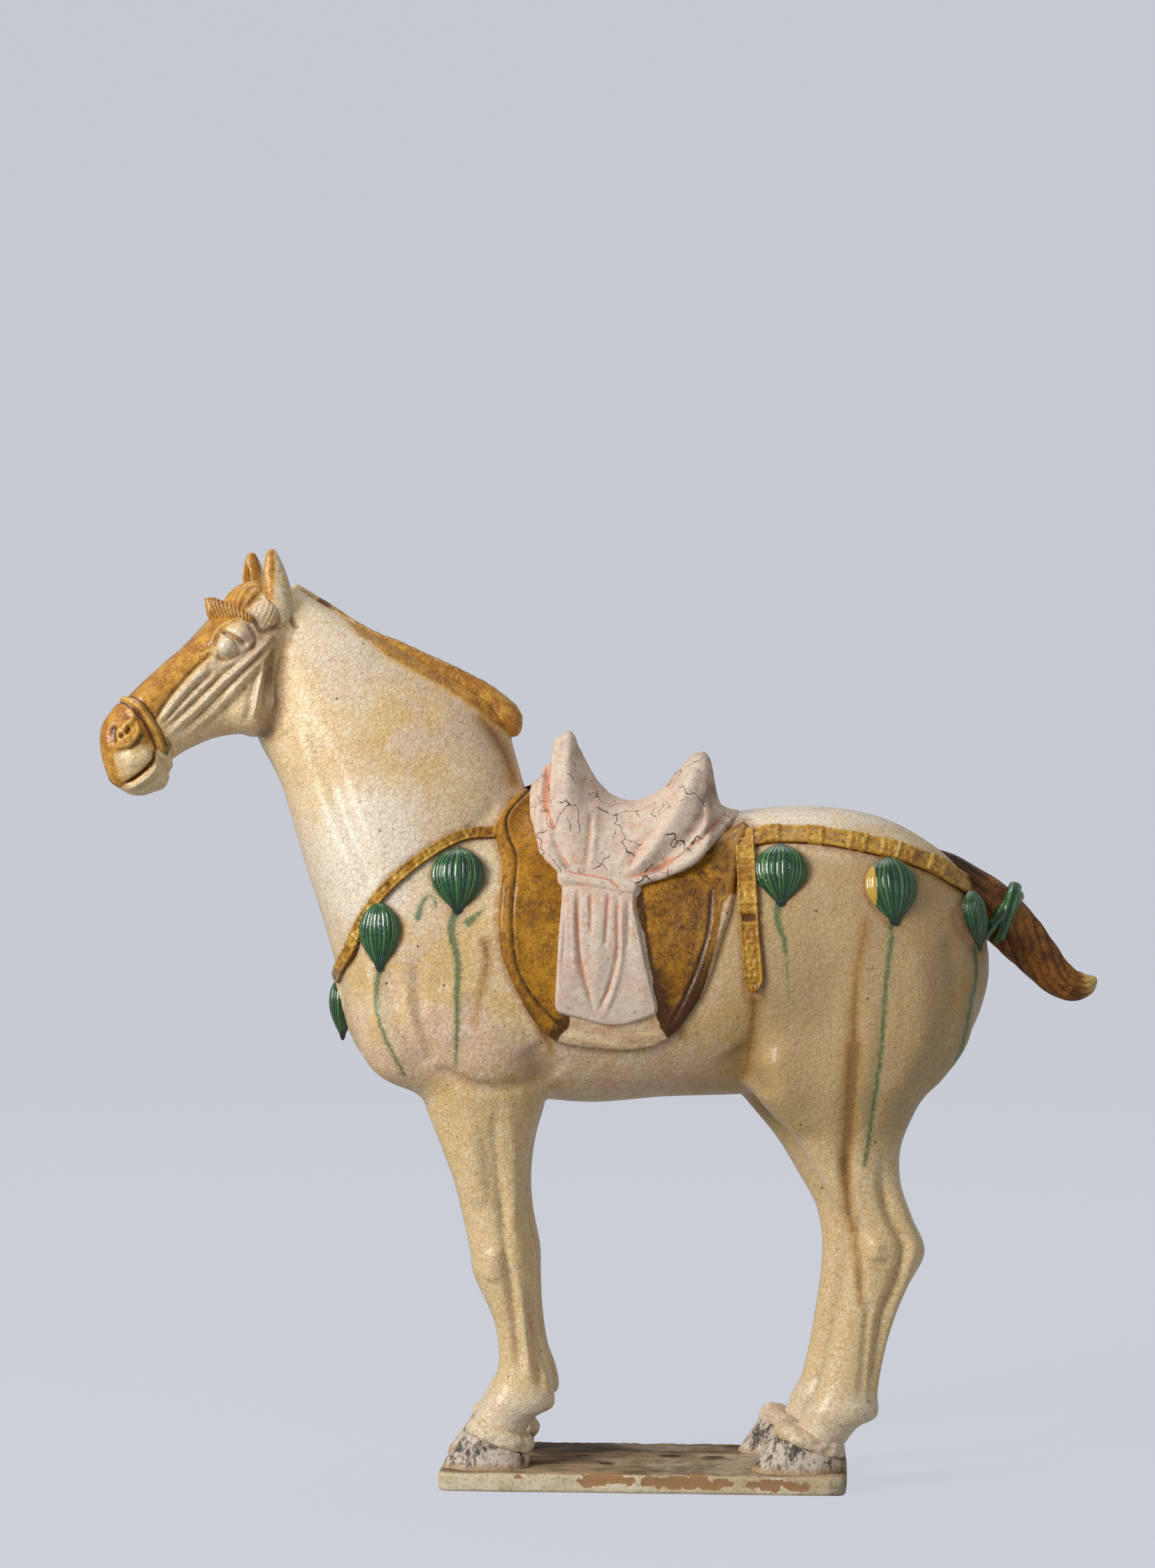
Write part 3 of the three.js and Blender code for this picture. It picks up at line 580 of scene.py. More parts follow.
# The noseband's two ridges: height up the head, then how far along each lies
NOSEBAND = np.array([
    (-25, 106, 101.6), (-8, 107, 102.6), (0, 104.6, 100.4), (6, 103, 99.6), (13, 101.8, 98.8),
    (20, 101.6, 98.4), (28, 103, 99.8),
])
# Where amber glaze ends on the face: along the head, then height
FACE_GLAZE = np.array([
    (-12, 33), (-4, 29), (8, 28), (20, 25.4), (30, 27), (38, 26), (44, 22.6), (50, 19), (69, 17.2),
    (86, 13.4), (98, 8),
])
# The cream patch below the nostril that the amber goes round
MUZZLE_CREAM = np.array([
    (129, 7.8), (127.6, 8.2), (124.6, 7.6), (120.4, 4.5), (114, 4.0), (109.8, -1.2), (108.9, -3.8),
    (114.6, -7.3), (124, -9.1), (133.7, -8.4), (134.3, -4.1), (131.5, 3),
])
# The green plate at the noseband's end, in the head's frame
PLATE = np.array([(102.4, -2.2), (98.9, -4.2), (99.2, -9.4), (104.2, -11.2), (106.0, -6.4)])
# The shadow behind the jaw, and the mane's glaze on the neck, as (x, z)
THROAT = np.array([(-213, 512), (-216.5, 499), (-218, 481.5), (-219, 463), (-226, 450)])
MANE_GLAZE = np.array([
    (-172, 506), (-163.8, 501.6), (-154.5, 493.1), (-136.8, 483.6), (-122.7, 475.6),
    (-110.7, 468.3), (-98.9, 459.6), (-88, 450.4), (-80.4, 446), (-66, 446), (-66, 476),
    (-100, 494), (-150, 516), (-176, 526), (-181, 518),
])


def line_relief(p, lines):
    """Height at points in a flat view from ridges and grooves, each fading at its ends."""
    total = np.zeros(len(p))
    for line, width, height in lines:
        line = curve(line, 5)
        box = (p > line.min(0) - 3 * width).all(1) & (p < line.max(0) + 3 * width).all(1)
        if not box.any():
            continue
        d, share = near_line(p[box], line)
        ends = np.minimum(smooth(share, -0.02, 0.18), 1 - smooth(share, 0.82, 1.02))
        total[box] += height * ends * bell(d, width)
    return total


def noseband(up):
    """How far along the head the noseband's front and back ridges lie, at a height up it."""
    return (np.interp(up, NOSEBAND[:, 0], NOSEBAND[:, c]) for c in (1, 2))


def relief(p, normal):
    """How far muscles, folds and the marks of modelling stand out from the plain forms."""
    out = np.zeros(len(p))
    side_view = p[:, [0, 2]]
    facing = smooth(np.abs(normal[:, 1]), 0.15, 0.6)
    middle = np.abs(p[:, 1])
    outer = smooth(middle, 22, 34)
    outer[p[:, 2] > 430] = 1
    head_part = to_head(p)
    on_head = about_head(head_part, -14, 34, -45, 50) & (head_part[:, 0] < 145)
    body_share = np.where(on_head, 0.0, facing * outer)
    chest = smooth(p[:, 0], -70, -100) * smooth(p[:, 2], 225, 245) * smooth(p[:, 2], 330, 310)
    carved = 0.9 + 0.5 * smooth(p[:, 2], 215, 190) + 0.1 * chest
    out += body_share * carved * line_relief(side_view, SIDE_RELIEF)
    along, up, across = head_part[on_head].T
    out[on_head] += smooth(np.abs(across), 3, 8) * line_relief(head_part[on_head, :2], HEAD_RELIEF)
    front, back = noseband(up)
    middle_line = (front + back) / 2
    band = 1.7 * bell(along - middle_line, 1.6) - bell(along - front - 1.7, 0.9)
    band -= 0.7 * bell(along - back + 1.8, 0.9) + 0.5 * bell(along - middle_line + 0.4, 0.6)
    out[on_head] += band
    comb = bell(along - 5.5, 8, up - 17.5, 8) * smooth(np.abs(across), 10, 16)
    out[on_head] += 0.35 * comb * np.sin(2.0 * (along * 0.5 + up))
    brow_hair = smooth(up, 26, 31) * smooth(along, 24, 12)
    out[on_head] += 0.4 * brow_hair * np.sin(1.6 * across + 0.35 * along)
    # combed hair on the croup
    croup = smooth(p[:, 0], 62, 90) * smooth(p[:, 2], 386, 396)
    out += 0.18 * croup * np.sin(p[:, 1] * 1.7)
    crescent = near_line(side_view, curve(CRESCENT))[0]
    rim = smooth(middle, 30, 45) * bell(crescent, 3.2)
    return out + 1.5 * np.where(on_head, 0, rim)


def wander(p, scale, seed):
    """Smooth noise from a few waves, between about -1 and 1."""
    rng = np.random.default_rng(seed)
    total = np.zeros(len(p))
    for _ in range(7):
        way = rng.normal(size=3)
        way /= np.linalg.norm(way)
        total += np.sin(p @ way * (2 * math.pi / scale) * rng.uniform(0.6, 1.5) + rng.uniform(0, 7))
    return total / 3.2


# Glaze drips and runs on the near side: line as (x, z), half-width at the start and the end
GREEN_RUNS = [
    ([(-152, 308), (-154, 303), (-154.8, 292), (-153.5, 281), (-150, 269), (-144, 257),
      (-139, 246)], 2, 1.1),
    ([(-108, 342), (-110, 336), (-110.8, 329), (-108, 319), (-106.6, 309), (-107, 293),
      (-106.6, 282), (-107, 271), (-107.8, 252)], 2.6, 1.2),
    ([(-130.5, 338), (-128.5, 345), (-125.5, 350), (-121.5, 349), (-119.5, 344)], 2.2, 0.4),
    ([(-101, 335), (-96, 339), (-91, 344)], 2.8, 0.2),
    ([(81, 350), (80, 343), (81, 333), (84, 326), (84.7, 319)], 2.4, 1.6),
    ([(84.7, 319), (86, 306), (87.3, 290)], 0.8, 0.5),
    ([(146.2, 340), (146, 332), (145.4, 320), (143.5, 308), (142, 290), (141, 271), (139, 252),
      (135.5, 229), (133, 209), (130.5, 194)], 1.6, 1.5),
    ([(194.5, 320), (195.5, 316), (196.5, 303), (192, 285), (188, 265), (182, 249)], 1.8, 1.2),
]
AMBER_RUNS = [
    ([(-91, 324), (-89.5, 313), (-92, 299), (-95, 286), (-96.8, 277)], 3.2, 0.9),
    ([(131, 336), (129, 323), (126, 308), (124.8, 287), (124.5, 264)], 1.8, 3.2),
    ([(124.5, 264), (122.5, 237), (121, 213), (119.3, 199), (120, 182), (121, 165),
      (123.8, 155)], 5.2, 2.6),
    ([(123.8, 155), (126.6, 131), (128.5, 113)], 1.2, 1.6),
    ([(65, 297), (66, 284), (63.6, 264), (60, 246)], 3.4, 2.0),
    ([(-57, 273), (-54, 266), (-52.5, 258)], 4.5, 1.5),
    ([(22, 273), (25, 268)], 3.0, 1.0),
    ([(-97, 456), (-89, 444), (-82, 430), (-78, 417)], 3.5, 2.4),
]


def run_field(p, runs):
    """How deep inside a run of glaze a point lies, in millimetres, down to NO_GLAZE outside."""
    best = np.full(len(p), NO_GLAZE)
    for line, start, end in runs:
        line = curve(line, 4)
        box = (p > line.min(0) - 14).all(1) & (p < line.max(0) + 14).all(1)
        if not box.any():
            continue
        d, share = near_line(p[box], line)
        best[box] = np.maximum(best[box], start + (end - start) * share - d)
    return best


def amber_on_head(q):
    """Positive where amber glaze covers the front of the face, in the head's own frame."""
    along, up, side = q.T
    face = up - np.interp(along, *FACE_GLAZE.T)
    front, back = noseband(up)
    band = np.minimum(np.minimum(along - back + 2.2, front + 3 - along), (up + 8) * 0.7)
    cream = inside_depth(q[:, :2], MUZZLE_CREAM)
    cream = np.where(np.abs(side) > 4, cream, np.minimum(cream, np.abs(side) - 4))
    mouth = np.interp(along, [108, 113, 120, 130, 136, 140], [-4.2, -8.5, -10.4, -11, -10, -9])
    muzzle = np.minimum(np.minimum(-cream * 0.8, up - mouth + 1.2), 5)
    out = np.where(along > front, muzzle, np.maximum(face, band))
    return np.clip(out, NO_GLAZE, 8)


def softened(points, quads):
    """The points after each has moved to the middle of its neighbours, a number of times."""
    pairs = np.vstack([quads[:, [0, 1]], quads[:, [1, 2]], quads[:, [2, 3]], quads[:, [3, 0]]])
    a, b = pairs.T
    n = len(points)
    count = np.bincount(pairs.ravel(), minlength=n).astype(float)
    count[count == 0] = 1
    for _ in range(SOFTENING_ROUNDS):
        sums = [np.bincount(a, x[b], n) + np.bincount(b, x[a], n) for x in points.T]
        points = np.column_stack(sums) / count[:, None]
    return points


def hollowness(points, normals, soft, spread, lowest):
    """How far each point lies below its softened place: positive in hollows."""
    return np.clip(((soft - points) * normals).sum(1) / spread, lowest, 3)


def occlusion(points, normals):
    """How far the horse's own forms close in over each point, from 0 to 1; the body glaze is darkened
    by it as painted shade.
    """
    total = np.zeros(len(points))
    for reach, share in ((3.5, 0.3), (9.0, 0.3), (20.0, 0.4)):
        total += share * np.clip(1 - body(points + normals * reach) / reach, 0, 1)
    return total


def near_tack(side_view):
    """How close points in the side view are to the edge of a strap, the flap or a tassel."""
    gap = np.abs(inside_depth(side_view, FLAP))
    for line, half in ((BREAST, 3.4), (CRUPPER, 4.7), (HANGING, 5.9)):
        gap = np.minimum(gap, np.abs(near_line(side_view, curve(line, 4))[0] - half))
    for x, z, tall, half, _, _ in TASSELS:
        t = 0.5 - (side_view[:, 1] - z) / tall
        wide = np.interp(t, *TASSEL_PROFILE.T, left=0, right=0) * half
        beside = np.maximum(np.abs(side_view[:, 0] - x) - wide, 0)
        above = np.maximum(np.abs(side_view[:, 1] - z) - tall / 2, 0)
        gap = np.minimum(gap, np.hypot(beside, above))
    return bell(gap, 1.9)


def add_to_scene(name, data):
    obj = bpy.data.objects.new(name, data)
    bpy.context.scene.collection.objects.link(obj)
    return obj


def mesh_object(name, points, faces, material, layers):
    """A smooth piece of the horse, with a layer of values at its points for each key."""
    mesh = bpy.data.meshes.new(name)
    mesh.from_pydata((np.asarray(points) * MM).tolist(), [], [list(map(int, f)) for f in faces])
    mesh.update()
    mesh.polygons.foreach_set("use_smooth", [True] * len(mesh.polygons))
    for key, values in layers.items():
        layer = mesh.attributes.new(key, "FLOAT", "POINT")
        layer.data.foreach_set("value", np.asarray(values, np.float32))
    mesh.materials.append(material)
    obj = add_to_scene(name, mesh)
    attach(obj, "root")
    return obj


class Paint:
    """A node material, built with short calls. Sizes are in millimetres."""

    def __init__(self, name, **sockets):
        self.material = bpy.data.materials.new(name)
        self.material.use_nodes = True
        self.tree = self.material.node_tree
        self.tree.nodes.clear()
        out = self.add("ShaderNodeOutputMaterial")
        self.shader = self.add("ShaderNodeBsdfPrincipled")
        self.tree.links.new(self.shader.outputs[0], out.inputs["Surface"])
        for key, value in sockets.items():
            self.shader.inputs[key.replace("_", " ")].default_value = value
        self.place = self.add("ShaderNodeTexCoord").outputs["Object"]
        self.normal = None

    def add(self, kind, **settings):
        node = self.tree.nodes.new(kind)
        for key, value in settings.items():
            setattr(node, key, value)
        return node

    def feed(self, socket, value):
        if isinstance(value, bpy.types.NodeSocket):
            self.tree.links.new(value, socket)
        elif isinstance(value, tuple) and len(value) == 3 and socket.type == "RGBA":
            socket.default_value = (*value, 1)
        else:
            socket.default_value = value

    def stretched(self, scale):
        """Coordinates scaled along each axis, for streaks."""
        node = self.add("ShaderNodeMapping")
        self.feed(node.inputs["Vector"], self.place)
        node.inputs["Scale"].default_value = scale
        return node.outputs[0]

    def noise(self, size, detail, rough=0.55, bend=0.0, place=None):
        node = self.add("ShaderNodeTexNoise")
        self.feed(node.inputs["Vector"], place or self.place)
        node.inputs["Scale"].default_value = 1000 / size
        node.inputs["Detail"].default_value = detail
        node.inputs["Roughness"].default_value = rough
        node.inputs["Distortion"].default_value = bend
        return node.outputs[0]

    def cells(self, size, feature="F1", place=None):
        node = self.add("ShaderNodeTexVoronoi", feature=feature)
        self.feed(node.inputs["Vector"], place or self.place)
        node.inputs["Scale"].default_value = 1000 / size
        return node.outputs["Distance"]

    def bent(self, size, amount):
        """Coordinates pushed about by noise, for lines that wander."""
        node = self.add("ShaderNodeTexNoise")
        self.feed(node.inputs["Vector"], self.place)
        node.inputs["Scale"].default_value = 1000 / size
        node.inputs["Detail"].default_value = 2
        push = self.add("ShaderNodeVectorMath", operation="MULTIPLY_ADD")
        self.feed(push.inputs[0], node.outputs["Color"])
        push.inputs[1].default_value = (amount * MM,) * 3
        self.feed(push.inputs[2], self.place)
        return push.outputs[0]

    def layer(self, key):
        return self.add("ShaderNodeAttribute", attribute_name=key).outputs["Fac"]

    def height(self):
        node = self.add("ShaderNodeSeparateXYZ")
        self.feed(node.inputs[0], self.place)
        return node.outputs["Z"]

    def ramp(self, value, low, high, to_low=0.0, to_high=1.0):
        node = self.add("ShaderNodeMapRange", interpolation_type="SMOOTHSTEP")
        self.feed(node.inputs["Value"], value)
        for key, v in (("From Min", low), ("From Max", high), ("To Min", to_low), ("To Max", to_high)):
            node.inputs[key].default_value = v
        return node.outputs[0]

    def math(self, operation, a, b, c=None):
        node = self.add("ShaderNodeMath", operation=operation)
        self.feed(node.inputs[0], a)
        self.feed(node.inputs[1], b)
        if c is not None:
            self.feed(node.inputs[2], c)
        return node.outputs[0]

    def mix(self, share, a, b):
        node = self.add("ShaderNodeMix", data_type="RGBA")
        self.feed(node.inputs[0], share)
        self.feed(node.inputs[6], a)
        self.feed(node.inputs[7], b)
        return node.outputs[2]

    def tint(self, base, colour, value, low, high, share=1.0):
        """Lays a colour over base where a value passes from low to high."""
        return self.mix(self.ramp(value, low, high, 0, share), base, colour)

    def broken(self, layer, noise, amount):
        """A layer made uneven by noise, as much up as down."""
        return self.math("MULTIPLY_ADD", self.math("SUBTRACT", noise, 0.5), amount, layer)

    def bump(self, height, depth):
        """Raises the surface by a height pattern, depth millimetres from 0 to 1."""
        node = self.add("ShaderNodeBump")
        node.inputs["Strength"].default_value = 1.0
        node.inputs["Distance"].default_value = depth * MM
        self.feed(node.inputs["Height"], height)
        if self.normal is not None:
            self.feed(node.inputs["Normal"], self.normal)
        self.normal = node.outputs[0]

    def done(self, colour, rough=None):
        """Joins colour, roughness and relief to the shader."""
        self.feed(self.shader.inputs["Base Color"], colour)
        if rough is not None:
            self.feed(self.shader.inputs["Roughness"], rough)
        if self.normal is not None:
            self.feed(self.shader.inputs["Normal"], self.normal)
        return self.material


def tone(red, green, blue):
    """A colour from display values of 0 to 255."""
    return tuple(((c / 255 + 0.055) / 1.055) ** 2.4 for c in (red, green, blue))


CREAM = tone(228, 206, 164)
STRAW = tone(220, 184, 122)
PINK = tone(218, 188, 158)
PALE = tone(238, 226, 206)
DEEP_GREEN = tone(4, 32, 16)
DIRT = tone(112, 86, 54)
SPECK = tone(96, 70, 38)
ORANGE = tone(216, 138, 102)
INK = tone(40, 28, 22)


def grain(paint, strength=1.0):
    """The fine dimples and crackle of an old lead glaze."""
    pores = paint.noise(1.8, 3, 0.65)
    swell = paint.noise(4.2, 3, 0.6)
    crackle = paint.cells(3.4, "DISTANCE_TO_EDGE", paint.bent(4, 2.2))
    paint.bump(swell, 0.7 * strength)
    paint.bump(pores, 0.4 * strength)
    paint.bump(paint.ramp(crackle, 0, 0.08), 0.12 * strength)
    return crackle


def cream_glaze():
    paint = Paint("cream_glaze", Coat_Weight=0.3, Coat_Roughness=0.15, Coat_IOR=1.5)
    crackle = grain(paint)
    broad = paint.noise(80, 4, 0.6)
    patch = paint.noise(36, 5, 0.66)
    run = paint.noise(15, 5, 0.68, place=paint.stretched((1.0, 1.0, 0.2)))
    fine = paint.noise(2.4, 4, 0.75)
    mottle = paint.noise(6.5, 5, 0.75)
    base = paint.tint(CREAM, STRAW, broad, 0.42, 0.6)
    base = paint.tint(base, PINK, patch, 0.44, 0.6, 0.9)
    base = paint.tint(base, STRAW, run, 0.53, 0.68, 0.55)
    yellow = paint.layer("yellow")
    base = paint.mix(paint.math("MULTIPLY", yellow, 0.75), base, tone(238, 206, 148))
    pale = paint.broken(paint.layer("pale"), patch, 1.0)
    base = paint.tint(base, PALE, pale, 0.05, 1.0, 0.85)
    bare = paint.math("ADD", paint.layer("bare"), paint.math("MULTIPLY_ADD", patch, 1.2, -0.6))
    bare = paint.ramp(bare, 0.35, 0.75, 0, 0.8)
    base = paint.mix(bare, base, tone(220, 182, 150))
    hollow = paint.layer("hollow")
    rough_hollow = paint.broken(hollow, mottle, 1.2)
    base = paint.tint(base, tone(150, 106, 58), rough_hollow, 0.35, 1.7, 0.6)
    base = paint.tint(base, PALE, hollow, -0.3, -1.6, 0.45)
    base = paint.tint(base, tone(196, 154, 96), mottle, 0.51, 0.68, 0.38)
    base = paint.tint(base, PALE, mottle, 0.48, 0.34, 0.45)
    base = paint.tint(base, tone(164, 122, 72), fine, 0.5, 0.7, 0.42)
    base = paint.tint(base, PALE, fine, 0.46, 0.3, 0.4)
    # Painted shade over the rear half, the thigh and below the belly
    dark = paint.broken(paint.layer("shade"), run, 0.9)
    base = paint.tint(base, tone(176, 142, 84), dark, 0.05, 1.0, 0.72)
    # Painted shade: darker brown where the horse's own forms close in over the surface, and the
    # painted shadow behind the jaw
    shut = paint.broken(paint.layer("shut"), mottle, 0.4)
    base = paint.tint(base, tone(136, 94, 52), shut, 0.25, 0.8, 0.65)
    lines = paint.ramp(crackle, 0.0, 0.09, 1, 0)
    base = paint.mix(paint.math("MULTIPLY", lines, 0.2), base, DIRT)
    specks = paint.noise(3.2, 2, 0.5)
    base = paint.tint(base, SPECK, specks, 0.7, 0.75, 0.55)
    base = paint.tint(base, tone(74, 50, 28), paint.cells(22), 0.05, 0.03, 0.8)
    # Brown rim along the edges of straps, flap and tassels: partly the glaze's own brown edge there,
    # partly painted shade where the tack meets the body
    rim = paint.math("MULTIPLY", paint.layer("rim"), paint.ramp(mottle, 0.3, 0.6, 0.25, 1))
    base = paint.mix(paint.math("MULTIPLY", rim, 0.7), base, tone(150, 98, 48))
    # runs of coloured glaze
    frayed = paint.math("MULTIPLY_ADD", paint.noise(2.8, 4, 0.8), 6.0, -3.0)
    amber = paint.math("ADD", paint.layer("amber_run"), frayed)
    base = paint.tint(base, tone(176, 128, 54), amber, -3.5, 1.0, 0.6)
    base = paint.tint(base, tone(122, 80, 26), amber, 0.0, 3.0, 0.7)
    green = paint.math("ADD", paint.layer("green_run"), paint.math("MULTIPLY", frayed, 0.8))
    base = paint.tint(base, tone(140, 148, 92), green, -2.2, 0.6, 0.4)
    base = paint.tint(base, tone(44, 88, 52), green, -0.5, 1.3, 0.72)
    base = paint.tint(base, tone(18, 64, 58), green, 2.8, 4.2, 0.95)
    # amber glaze on the face
    wet = paint.math("MULTIPLY_ADD", paint.noise(5, 4, 0.7), 3.6, -1.8)
    face = paint.math("ADD", paint.layer("amber"), wet)
    depth = paint.noise(9, 5, 0.72, place=paint.bent(14, 6))
    rich = paint.tint(tone(208, 154, 54), tone(164, 104, 24), depth, 0.36, 0.6)
    rich = paint.tint(rich, tone(88, 44, 8), hollow, 0.05, 0.9, 0.9)
    rich = paint.tint(rich, tone(232, 190, 104), hollow, -0.3, -1.3, 0.5)
    rich = paint.tint(rich, tone(128, 76, 18), fine, 0.49, 0.7, 0.45)
    base = paint.tint(base, tone(214, 166, 78), face, -3.2, 0.0, 0.6)
    base = paint.tint(base, rich, face, -0.8, 0.9)
    satin = paint.ramp(paint.noise(18, 5, 0.7), 0.36, 0.62, 0.62, 0.36)
    on_face = paint.ramp(face, -1, 1, 0, 0.62)
    gloss = paint.math("MAXIMUM", on_face, paint.math("MULTIPLY", yellow, 0.45))
    rough = paint.math("MULTIPLY", satin, paint.math("SUBTRACT", 1.0, gloss))
    return paint.done(base, paint.math("ADD", rough, 0.06))


def amber_glaze(name, light, rich, deep):
    """A brown or yellow glaze that pools in hollows and thins over edges."""
    paint = Paint(name, Coat_Weight=0.22, Coat_Roughness=0.1, Coat_IOR=1.5, Specular_IOR_Level=0.25)
    grain(paint, 0.8)
    depth = paint.noise(18, 6, 0.7, place=paint.bent(20, 9))
    fine = paint.noise(2.2, 4, 0.75)
    mottle = paint.noise(6, 5, 0.75)
    base = paint.tint(light, rich, depth, 0.4, 0.6)
    base = paint.tint(base, light, mottle, 0.48, 0.32, 0.5)
    base = paint.tint(base, deep, mottle, 0.5, 0.66, 0.5)
    base = paint.tint(base, deep, fine, 0.48, 0.68, 0.6)
    pooled = paint.broken(paint.layer("hollow"), mottle, 1.2)
    base = paint.tint(base, deep, pooled, 0.2, 1.0, 0.92)
    thin = paint.math("MULTIPLY_ADD", mottle, 0.5, paint.layer("edge"))
    base = paint.tint(base, tone(226, 190, 112), thin, 0.55, 1.2, 0.8)
    bare = paint.layer("bare")
    bare = paint.math("ADD", bare, paint.math("MULTIPLY_ADD", paint.noise(6, 4, 0.7), 3.0, -1.5))
    streak = paint.noise(7, 5, 0.7, place=paint.stretched((0.5, 1.0, 1.6)))
    ground = paint.tint(tone(222, 200, 160), tone(206, 164, 126), streak, 0.4, 0.62)
    ground = paint.tint(ground, tone(150, 118, 74), fine, 0.48, 0.68, 0.5)
    base = paint.tint(base, ground, bare, -0.6, 0.6)
    base = paint.tint(base, INK, paint.cells(9), 0.1, 0.05, 0.85)
    rough = paint.ramp(paint.noise(14, 5, 0.65), 0.35, 0.65, 0.2, 0.45)
    return paint.done(base, rough)


def green_glaze():
    paint = Paint("green_glaze", Coat_Weight=0.7, Coat_Roughness=0.06, Coat_IOR=1.6)
    grain(paint, 0.5)
    depth = paint.noise(11, 4, 0.65)
    fine = paint.noise(2.4, 4, 0.7)
    base = paint.tint(tone(22, 88, 42), tone(6, 60, 28), depth, 0.4, 0.6)
    base = paint.tint(base, DEEP_GREEN, fine, 0.5, 0.7, 0.4)
    pale = paint.math("MULTIPLY_ADD", paint.noise(5, 3, 0.6), 0.8, paint.layer("edge"))
    base = paint.tint(base, tone(84, 134, 70), pale, 0.75, 1.3, 0.7)
    base = paint.tint(base, DEEP_GREEN, paint.layer("hollow"), 0.1, 0.8, 0.96)
    base = paint.tint(base, tone(200, 160, 56), paint.layer("bare"), 0.3, 0.7)
    return paint.done(base, paint.ramp(depth, 0.3, 0.7, 0.1, 0.22))


def saddle_slip():
    """Unglazed white slip with orange pigment rubbed into its folds and fine dark cracks."""
    paint = Paint("saddle_slip", Roughness=0.8, Specular_IOR_Level=0.25)
    patch = paint.noise(18, 6, 0.7)
    fine = paint.noise(2.4, 4, 0.75)
    mottle = paint.noise(6, 5, 0.75)
    base = paint.tint(tone(209, 185, 168), tone(215, 198, 177), patch, 0.4, 0.6)
    base = paint.tint(base, tone(218, 160, 130), paint.noise(11, 6, 0.75), 0.52, 0.64, 0.55)
    base = paint.tint(base, tone(238, 228, 214), mottle, 0.46, 0.32, 0.5)
    stain = paint.math("MULTIPLY_ADD", paint.noise(4.5, 5, 0.75), 1.5, paint.layer("hollow"))
    base = paint.tint(base, ORANGE, stain, 1.0, 1.55, 0.75)
    base = paint.tint(base, tone(156, 126, 106), fine, 0.49, 0.66, 0.45)
    # Darkened by painted shade and by dirt together
    dirt_and_shade_share = paint.math("MULTIPLY_ADD", mottle, 0.9, paint.layer("dirt"))
    base = paint.tint(base, tone(116, 92, 74), dirt_and_shade_share, 0.6, 1.3, 0.8)
    near_cracks = paint.cells(17, "DISTANCE_TO_EDGE", paint.bent(9, 12))
    long_cracks = paint.cells(34, "DISTANCE_TO_EDGE", paint.bent(16, 22))
    some = paint.ramp(paint.noise(21, 3, 0.5), 0.55, 0.59)
    others = paint.ramp(paint.noise(26, 3, 0.5, place=paint.stretched((1.3, 1.3, 1.0))), 0.5, 0.54)
    crack = paint.math(
        "MAXIMUM",
        paint.math("MULTIPLY", paint.ramp(near_cracks, 0.008, 0.02, 0.6, 0), some),
        paint.math("MULTIPLY", paint.ramp(long_cracks, 0.004, 0.01, 0.85, 0), others),
    )
    crack = paint.math("MULTIPLY", crack, paint.layer("cracked"))
    base = paint.mix(crack, base, INK)
    base = paint.tint(base, INK, paint.cells(7.5), 0.1, 0.05, 0.6)
    paint.bump(fine, 0.2)
    paint.bump(mottle, 0.4)
    paint.bump(crack, -0.5)
    return paint.done(base)


def hoof_pigment():
    paint = Paint("hoof_pigment", Roughness=0.72, Specular_IOR_Level=0.3)
    height = paint.height()
    worn = paint.noise(9, 8, 0.78, bend=0.3, place=paint.stretched((1.0, 1.0, 0.6)))
    fine = paint.noise(2.2, 4, 0.75)
    base = paint.tint(tone(58, 54, 52), tone(124, 114, 104), fine, 0.35, 0.65)
    base = paint.tint(base, tone(222, 206, 188), worn, 0.43, 0.52, 0.92)
    base = paint.tint(base, tone(64, 58, 54), paint.noise(3.4, 4, 0.7), 0.52, 0.62, 0.5)
    foot = paint.math("MULTIPLY_ADD", paint.noise(5, 3, 0.6), 0.008, height)
    base = paint.tint(base, tone(188, 156, 116), foot, 0.0205, 0.0155, 0.9)
    paint.bump(worn, 0.4)
    paint.bump(fine, 0.2)
    return paint.done(base)


def slab_slip():
    paint = Paint("slab_slip", Roughness=0.75, Specular_IOR_Level=0.25)
    up = paint.layer("top")
    broad = paint.noise(38, 6, 0.68)
    streak = paint.noise(14, 6, 0.72, place=paint.stretched((0.3, 1.0, 1.0)))
    fine = paint.noise(2.2, 4, 0.75)
    edge = paint.tint(tone(228, 212, 182), tone(202, 182, 142), broad, 0.4, 0.62)
    top = paint.tint(tone(176, 153, 118), tone(116, 95, 68), streak, 0.38, 0.62)
    top = paint.tint(top, tone(204, 186, 158), broad, 0.5, 0.64, 0.6)
    base = paint.mix(up, edge, top)
    base = paint.tint(base, tone(104, 82, 58), fine, 0.48, 0.68, 0.5)
    # Darkened by painted shade and by dirt together
    dirt_and_shade_share = paint.math("MULTIPLY_ADD", streak, 1.0, paint.layer("dirt"))
    base = paint.tint(base, tone(56, 42, 30), dirt_and_shade_share, 0.65, 1.3, 0.88)
    clay = paint.mix(fine, tone(180, 140, 98), tone(150, 112, 74))
    base = paint.tint(base, clay, paint.layer("chip"), 0.35, 0.6)
    paint.bump(streak, 0.4)
    paint.bump(fine, 0.2)
    return paint.done(base)


def eye_glaze():
    paint = Paint("eye_glaze", Coat_Weight=1.0, Coat_Roughness=0.05, Coat_IOR=1.6, Roughness=0.25)
    fine = paint.noise(1.3, 3, 0.6)
    base = paint.tint(tone(220, 204, 172), tone(190, 168, 128), paint.noise(6, 4, 0.6), 0.4, 0.65)
    base = paint.tint(base, DIRT, fine, 0.52, 0.75, 0.4)
    base = paint.tint(base, tone(140, 108, 66), paint.layer("hollow"), 0.2, 0.9, 0.8)
    paint.bump(paint.noise(3, 2), 0.1)
    return paint.done(base)


